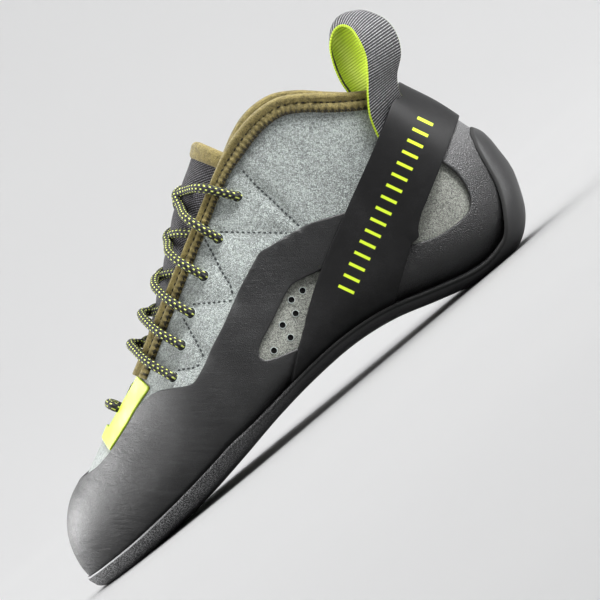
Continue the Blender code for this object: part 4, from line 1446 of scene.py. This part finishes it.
def make_loop_mesh():
    """Webbing between its two edges, with rounded selvedges."""
    near, far, bulge = loop_edges()
    middle = (near + far) / 2
    ahead = unit_rows(np.gradient(middle, axis=0))
    width = unit_rows(far - near)
    normal = unit_rows(np.cross(width, ahead))
    lengths = lengths_along(middle)
    thick = LOOP_THICKNESS / 2
    flat, selvedge = np.linspace(-0.85, 0.85, 15), np.linspace(SELVEDGE, 1, 3)
    shares = np.concatenate([np.linspace(-1, -SELVEDGE, 3), flat, selvedge])
    ring = [(share, 1.0) for share in shares] + [(share, -1.0) for share in shares[::-1]]
    points, strand, lining = [], [], []
    for i in range(len(middle)):
        half = (far[i] - near[i]) / 2
        for share, face in ring:
            rim = math.sqrt(max(0.0, 1 - max(0.0, (abs(share) - SELVEDGE) / 0.07) ** 2))
            lift = face * thick * (0.25 + 0.75 * rim) - bulge[i, 0] * (1 - share * share)
            points.append(middle[i] + half * share + normal[i] * lift)
            strand.append((lengths[i], (share + 1) / 2))
            lining.append(1.0 if face > 0 else 0.0)
    first, last = caps(len(middle), len(ring))
    faces = ring_faces(len(middle), len(ring), True) + [first[::-1], last]
    return np.array(points), faces, np.array(strand), np.array(lining)


class SHOE_OT_upper(bpy.types.Operator):
    """Suede upper with its vent holes, lace holes and seams"""

    bl_idname = "shoe.upper"
    bl_label = "Upper"

    def execute(self, context):
        suede = suede_finish(colours())
        add_layer("upper", upper_region, 0.0, -WALL, suede, edge=0.0005,
                  rows=detail().rows, columns=detail().columns)
        # Painted shade and highlight: each hole's middle is near black for the shade in and round it, and its
        # rim lighter than the suede.
        holes = Finish("hole_shade_and_rim_highlight", roughness=0.9, specular_ior_level=0.1)
        shade, _ = holes.strand()
        rim = times(colours().suede, 1.7)
        holes.colour(holes.mix(shade.over(0.5, 0.2), rim, (0.0015, 0.0015, 0.0015)))
        parts = []
        for inner in (False, True):
            for number in range(len(EYELETS) - 1):
                parts.append(disc(*eyelet(number, inner), *EYELET_HOLE))
            turn, angle = surface_place(side_points(VENT_HOLES), inner)
            parts += [disc(*place, *VENT_HOLE) for place in zip(turn, angle)]
        points, faces, strand = joined(parts)
        add_piece("vent_holes", points, faces, holes.material, strand=strand)
        thread = plain_finish("seam_thread", (0.045, 0.05, 0.05), 0.8)
        parts = []
        for seam in SEAMS:
            parts += stitches_along(resampled(side_points(seam), LINE_SPACING), *SEAM_STITCH)
        points, faces, _ = joined(parts)
        add_piece("seam_stitches", points, faces, thread)
        return {"FINISHED"}


class SHOE_OT_rubber(bpy.types.Operator):
    """Rand, heel rand, tension band and outsole"""

    bl_idname = "shoe.rubber"
    bl_label = "Rubber"

    def execute(self, context):
        rows, columns = detail().rows, detail().columns
        rand = rubber_finish("rand_rubber", colours().rubber, 0.36, 0.00050, 1.0, 0.5).material
        add_layer("rand", rand_region, RAND_OUTSIDE, GAP, rand,
                  turns=(0.0, 2.3), rows=int(rows * 0.85), columns=columns)
        add_layer("heel_rand", heel_rand_region, RAND_OUTSIDE, GAP, heel_finish(colours()),
                  turns=(1.4, math.pi), rows=int(rows * 0.6), columns=columns)
        add_layer("tension_band", band_region, BAND_INSIDE + BAND_THICKNESS, BAND_INSIDE - 0.0012,
                  band_finish(colours()), edge=0.0004, turns=(1.4, math.pi),
                  rows=int(rows * 0.7), columns=columns)

        def sole_inside(points, depth):
            return blend(RAND_OUTSIDE + 0.0001, GAP, (depth - 0.001) / 0.002)

        def sole_swell(points, depth):
            """The wrap round the heel swells behind its front edge."""
            wrap = blend(0, 1, (points[:, 0] - 0.097) / 0.006) * blend(0, 1, (points[:, 2] - 0.008) / 0.012)
            return wrap * (0.0006 * hump(depth, 0.0050, 0.0032) - 0.0004 * hump(depth, 0, 0.0012))

        add_layer("outsole", sole_region, SOLE_SIDE, sole_inside, sole_finish(colours()),
                  edge=0.0006, rows=int(rows * 0.8), columns=columns, square=SOLE_SQUARENESS,
                  shape=sole_shape, creased=False, swell=sole_swell)
        return {"FINISHED"}


class SHOE_OT_inside(bpy.types.Operator):
    """Insole board, tongue and the tape over its end"""

    bl_idname = "shoe.inside"
    bl_label = "Inside"

    def execute(self, context):
        turn = np.linspace(0.28, math.pi - 0.47, 90)
        row = section_at(turn)
        height = row.arch + WALL + GAP + INSOLE_THICKNESS
        _, angle = surface_place(np.stack([row.along, height], axis=1))
        edge = grown(turn, angle, -WALL - GAP)
        shares = np.linspace(-1, 1, 25)
        points = []
        for level in (0.0, -INSOLE_THICKNESS):
            for i in range(len(turn)):
                half = row.centre[i] - edge[i, 1]
                for share in shares:
                    sunk = 0.0006 * (1 - share ** 4)
                    points.append((edge[i, 0], row.centre[i] + share * half, height[i] + level - sunk))
        across, rows = len(shares), len(turn)
        faces = []
        for i in range(rows - 1):
            for j in range(across - 1):
                top = [i * across + j, (i + 1) * across + j, (i + 1) * across + j + 1, i * across + j + 1]
                faces += [top, [rows * across + k for k in top[::-1]]]
        rim = list(range(across)) + [i * across + across - 1 for i in range(1, rows)]
        rim += [(rows - 1) * across + j for j in range(across - 2, -1, -1)]
        rim += [i * across for i in range(rows - 2, 0, -1)]
        for a, b in zip(rim, rim[1:] + rim[:1]):
            faces.append([a, b, rows * across + b, rows * across + a])
        board = plain_finish("insole_board", (0.24, 0.235, 0.20), 0.9, 700.0, 0.0003)
        add_piece("insole", points, faces, board, ("insole",))
        tongue = add_layer("tongue", tongue_region, tongue_outside, tongue_inside,
                           weave_finish(colours()), turns=(0.8, 2.0), rows=110, columns=300,
                           creased=False)
        add_layer("tongue_binding", lambda points: depth_in(points, tongue_outline(TONGUE_TAPE, -0.0008)),
                  TONGUE_SKIN + 0.0011, TONGUE_SKIN - TONGUE_THICKNESS - 0.0011,
                  tape_finish(colours()), edge=0.0022, soft=0.0022,
                  turns=(1.3, 2.0), rows=150, columns=300, creased=False)
        return {"FINISHED"}


class SHOE_OT_tape(bpy.types.Operator):
    """Folded tape round the throat and collar, the lime strip and their stitches"""

    bl_idname = "shoe.tape"
    bl_label = "Tape"

    def execute(self, context):
        tape = tape_finish(colours())
        add_layer("collar_binding", tape_region, tape_outside, tape_inside, tape, edge=0.0006,
                  soft=0.0004, turns=(0.9, 2.75), rows=300, columns=360, more=tape_floats)
        add_layer("throat_patch", patch_region, GAP + PATCH_THICKNESS, 0.0001,
                  lime_finish(colours()), edge=0.0004, soft=0.0001,
                  turns=(0.6, 1.4), rows=110, columns=260)
        thread = plain_finish("tape_thread", (0.020, 0.017, 0.010), 0.8)
        line = top_line()
        start, stop = side_points([THROAT_EDGE[2], COLLAR_EDGE[10]])[:, 0]
        line = line[(line[:, 0] > start + 0.001) & (line[:, 0] < stop)]
        width = tape_width(line[:, 0])
        groove = TAPE_GROOVE * (width + TAPE_THICKNESS) - GAP - TAPE_THICKNESS
        in_groove = resampled(shifted(line, -groove), LINE_SPACING)
        at_hem = resampled(shifted(line, -width * 0.95), LINE_SPACING)
        parts = stitches_along(in_groove, *GROOVE_STITCH, collar=True)
        parts += stitches_along(at_hem, *HEM_STITCH, HEM_LEAN, True)
        points, faces, _ = joined(parts)
        add_piece("tape_stitches", points, faces, thread)
        return {"FINISHED"}


class SHOE_OT_lace(bpy.types.Operator):
    """Braided lace through the eyelets"""

    bl_idname = "shoe.lace"
    bl_label = "Lace"

    def execute(self, context):
        points, faces, strand = joined(lace_parts())
        add_piece("lace", points, faces, lace_finish(colours()), ("lace",), strand=strand)
        return {"FINISHED"}


class SHOE_OT_loop(bpy.types.Operator):
    """Pull loop at the outer rear of the collar"""

    bl_idname = "shoe.loop"
    bl_label = "Pull loop"

    def execute(self, context):
        points, faces, strand, lining = make_loop_mesh()
        add_piece("pull_loop", points, faces, webbing_finish(colours()), ("pull_loop",),
                  {"lining": lining}, strand)
        return {"FINISHED"}


class SHOE_OT_stage(bpy.types.Operator):
    """Pale backdrop, soft lights and the camera"""

    bl_idname = "shoe.stage"
    bl_label = "Stage"

    def execute(self, context):
        stage = context.scene.shoe_stage
        make_backdrop()
        middle = Vector(VIEW_MIDDLE)
        make_light("ceiling", (0.3, 0.3, 3.2), Vector((0.3, 0.3, 0.0)), 5.0, stage.ceiling_power)
        shoe = bpy.data.collections.new("shoe")
        for piece in context.scene.objects:
            if piece.type == "MESH" and piece.name != "backdrop":
                shoe.objects.link(piece)
        for name, place, size, power in (
            ("key", (-1.30, -0.60, 0.80), 1.1, stage.key_power),
            ("edge", (-1.15, 0.75, 0.75), 1.1, stage.edge_power),
            ("fill", (0.3, -1.9, 0.7), 1.2, stage.fill_power),
            ("rim", (1.05, -0.28, 1.05), 0.5, stage.rim_power),
            ("back", (1.60, -0.30, 0.45), 0.6, stage.back_power),
        ):
            make_light(name, place, middle, size, power).light_linking.receiver_collection = shoe
        world = bpy.data.worlds.new("room")
        world.use_nodes = True
        sky = world.node_tree.nodes["Background"].inputs
        sky["Color"].default_value, sky["Strength"].default_value = (0.97, 0.985, 1.0, 1.0), stage.sky
        context.scene.world = world
        context.scene.view_settings.view_transform = "Standard"
        camera = placed("camera", bpy.data.cameras.new("camera"))
        azimuth, elevation = stage.azimuth, stage.elevation
        back = Vector((math.sin(azimuth) * math.cos(elevation), -math.cos(azimuth) * math.cos(elevation),
                       math.sin(elevation)))
        upright = Vector((math.sin(stage.roll), 0.0, math.cos(stage.roll)))
        upright = (upright - back * upright.dot(back)).normalized()
        turned = Matrix((upright.cross(back), upright, back)).transposed()
        camera.matrix_world = Matrix.Translation(middle + back * stage.distance) @ turned.to_4x4()
        camera.data.lens = camera.data.sensor_width * (stage.distance - NEAR_SIDE) / stage.width
        camera.data.clip_end = 50.0
        context.scene.camera = camera
        return {"FINISHED"}


def make_backdrop():
    """A floor that curves up into a wall behind the shoe, clear from its rear."""
    bend, steps = 1.0, 24
    profile = [(-4.0, 0.0), (-1.0, 0.0), (1.0, 0.0)]
    for i in range(1, steps + 1):
        turn = math.pi / 2 * i / steps
        profile.append((1.0 + bend * math.sin(turn), bend * (1 - math.cos(turn))))
    profile.append((1.0 + bend, 4.0))
    points = [(x, y, z) for y, z in profile for x in (-5.0, 5.0)]
    faces = [[2 * i, 2 * i + 1, 2 * i + 3, 2 * i + 2] for i in range(len(profile) - 1)]
    mesh = bpy.data.meshes.new("backdrop")
    mesh.from_pydata(points, [], faces)
    mesh.shade_smooth()
    paper = Finish("backdrop_paper", roughness=0.95)
    grain = paper.noise(3.0, 2.0)
    paper.colour(paper.mix(grain, (0.82, 0.82, 0.825), (0.86, 0.86, 0.86)))
    behind = paper.node("ShaderNodeNewGeometry", output=6)
    seen = paper.node("ShaderNodeMixShader", {}, {0: behind, 1: Value(paper, paper.shader.outputs[0]),
                                                  2: paper.node("ShaderNodeBsdfTransparent")})
    paper.feed(paper.tree.nodes["Material Output"].inputs["Surface"], seen)
    mesh.materials.append(paper.material)
    placed("backdrop", mesh)


def make_light(name, place, target, size, strength):
    """A square soft light that faces the shoe."""
    light = bpy.data.lights.new(name, "AREA")
    light.shape, light.size, light.energy = "SQUARE", size, strength
    made = placed(name, light)
    made.location = place
    made.rotation_euler = (target - Vector(place)).to_track_quat("-Z", "Y").to_euler()
    return made


PIECES = [SHOE_OT_upper, SHOE_OT_rubber, SHOE_OT_inside, SHOE_OT_tape, SHOE_OT_lace,
          SHOE_OT_loop, SHOE_OT_stage]


class SHOE_PT_panel(bpy.types.Panel):
    """Lists the pieces and their settings"""

    bl_idname = "SHOE_PT_panel"
    bl_label = "Climbing shoe"
    bl_space_type = "VIEW_3D"
    bl_region_type = "UI"
    bl_category = "Shoe"

    def draw(self, context):
        for operator in PIECES:
            self.layout.operator(operator.bl_idname)
        for group in (context.scene.shoe_colours, context.scene.shoe_stage, context.scene.shoe_detail):
            box = self.layout.box()
            for label in type(group).__annotations__:
                box.prop(group, label)


CLASSES = [ShoeColours, StageSettings, MeshDetail, *PIECES, SHOE_PT_panel]


def register():
    for item in CLASSES:
        bpy.utils.register_class(item)
    bpy.types.Scene.shoe_colours = PointerProperty(type=ShoeColours)
    bpy.types.Scene.shoe_stage = PointerProperty(type=StageSettings)
    bpy.types.Scene.shoe_detail = PointerProperty(type=MeshDetail)


def unregister():
    del bpy.types.Scene.shoe_detail
    del bpy.types.Scene.shoe_stage
    del bpy.types.Scene.shoe_colours
    for item in reversed(CLASSES):
        bpy.utils.unregister_class(item)


def main():
    register()
    for operator in PIECES:
        getattr(bpy.ops.shoe, operator.bl_idname.split(".")[1])()


if __name__ == "__main__":
    main()
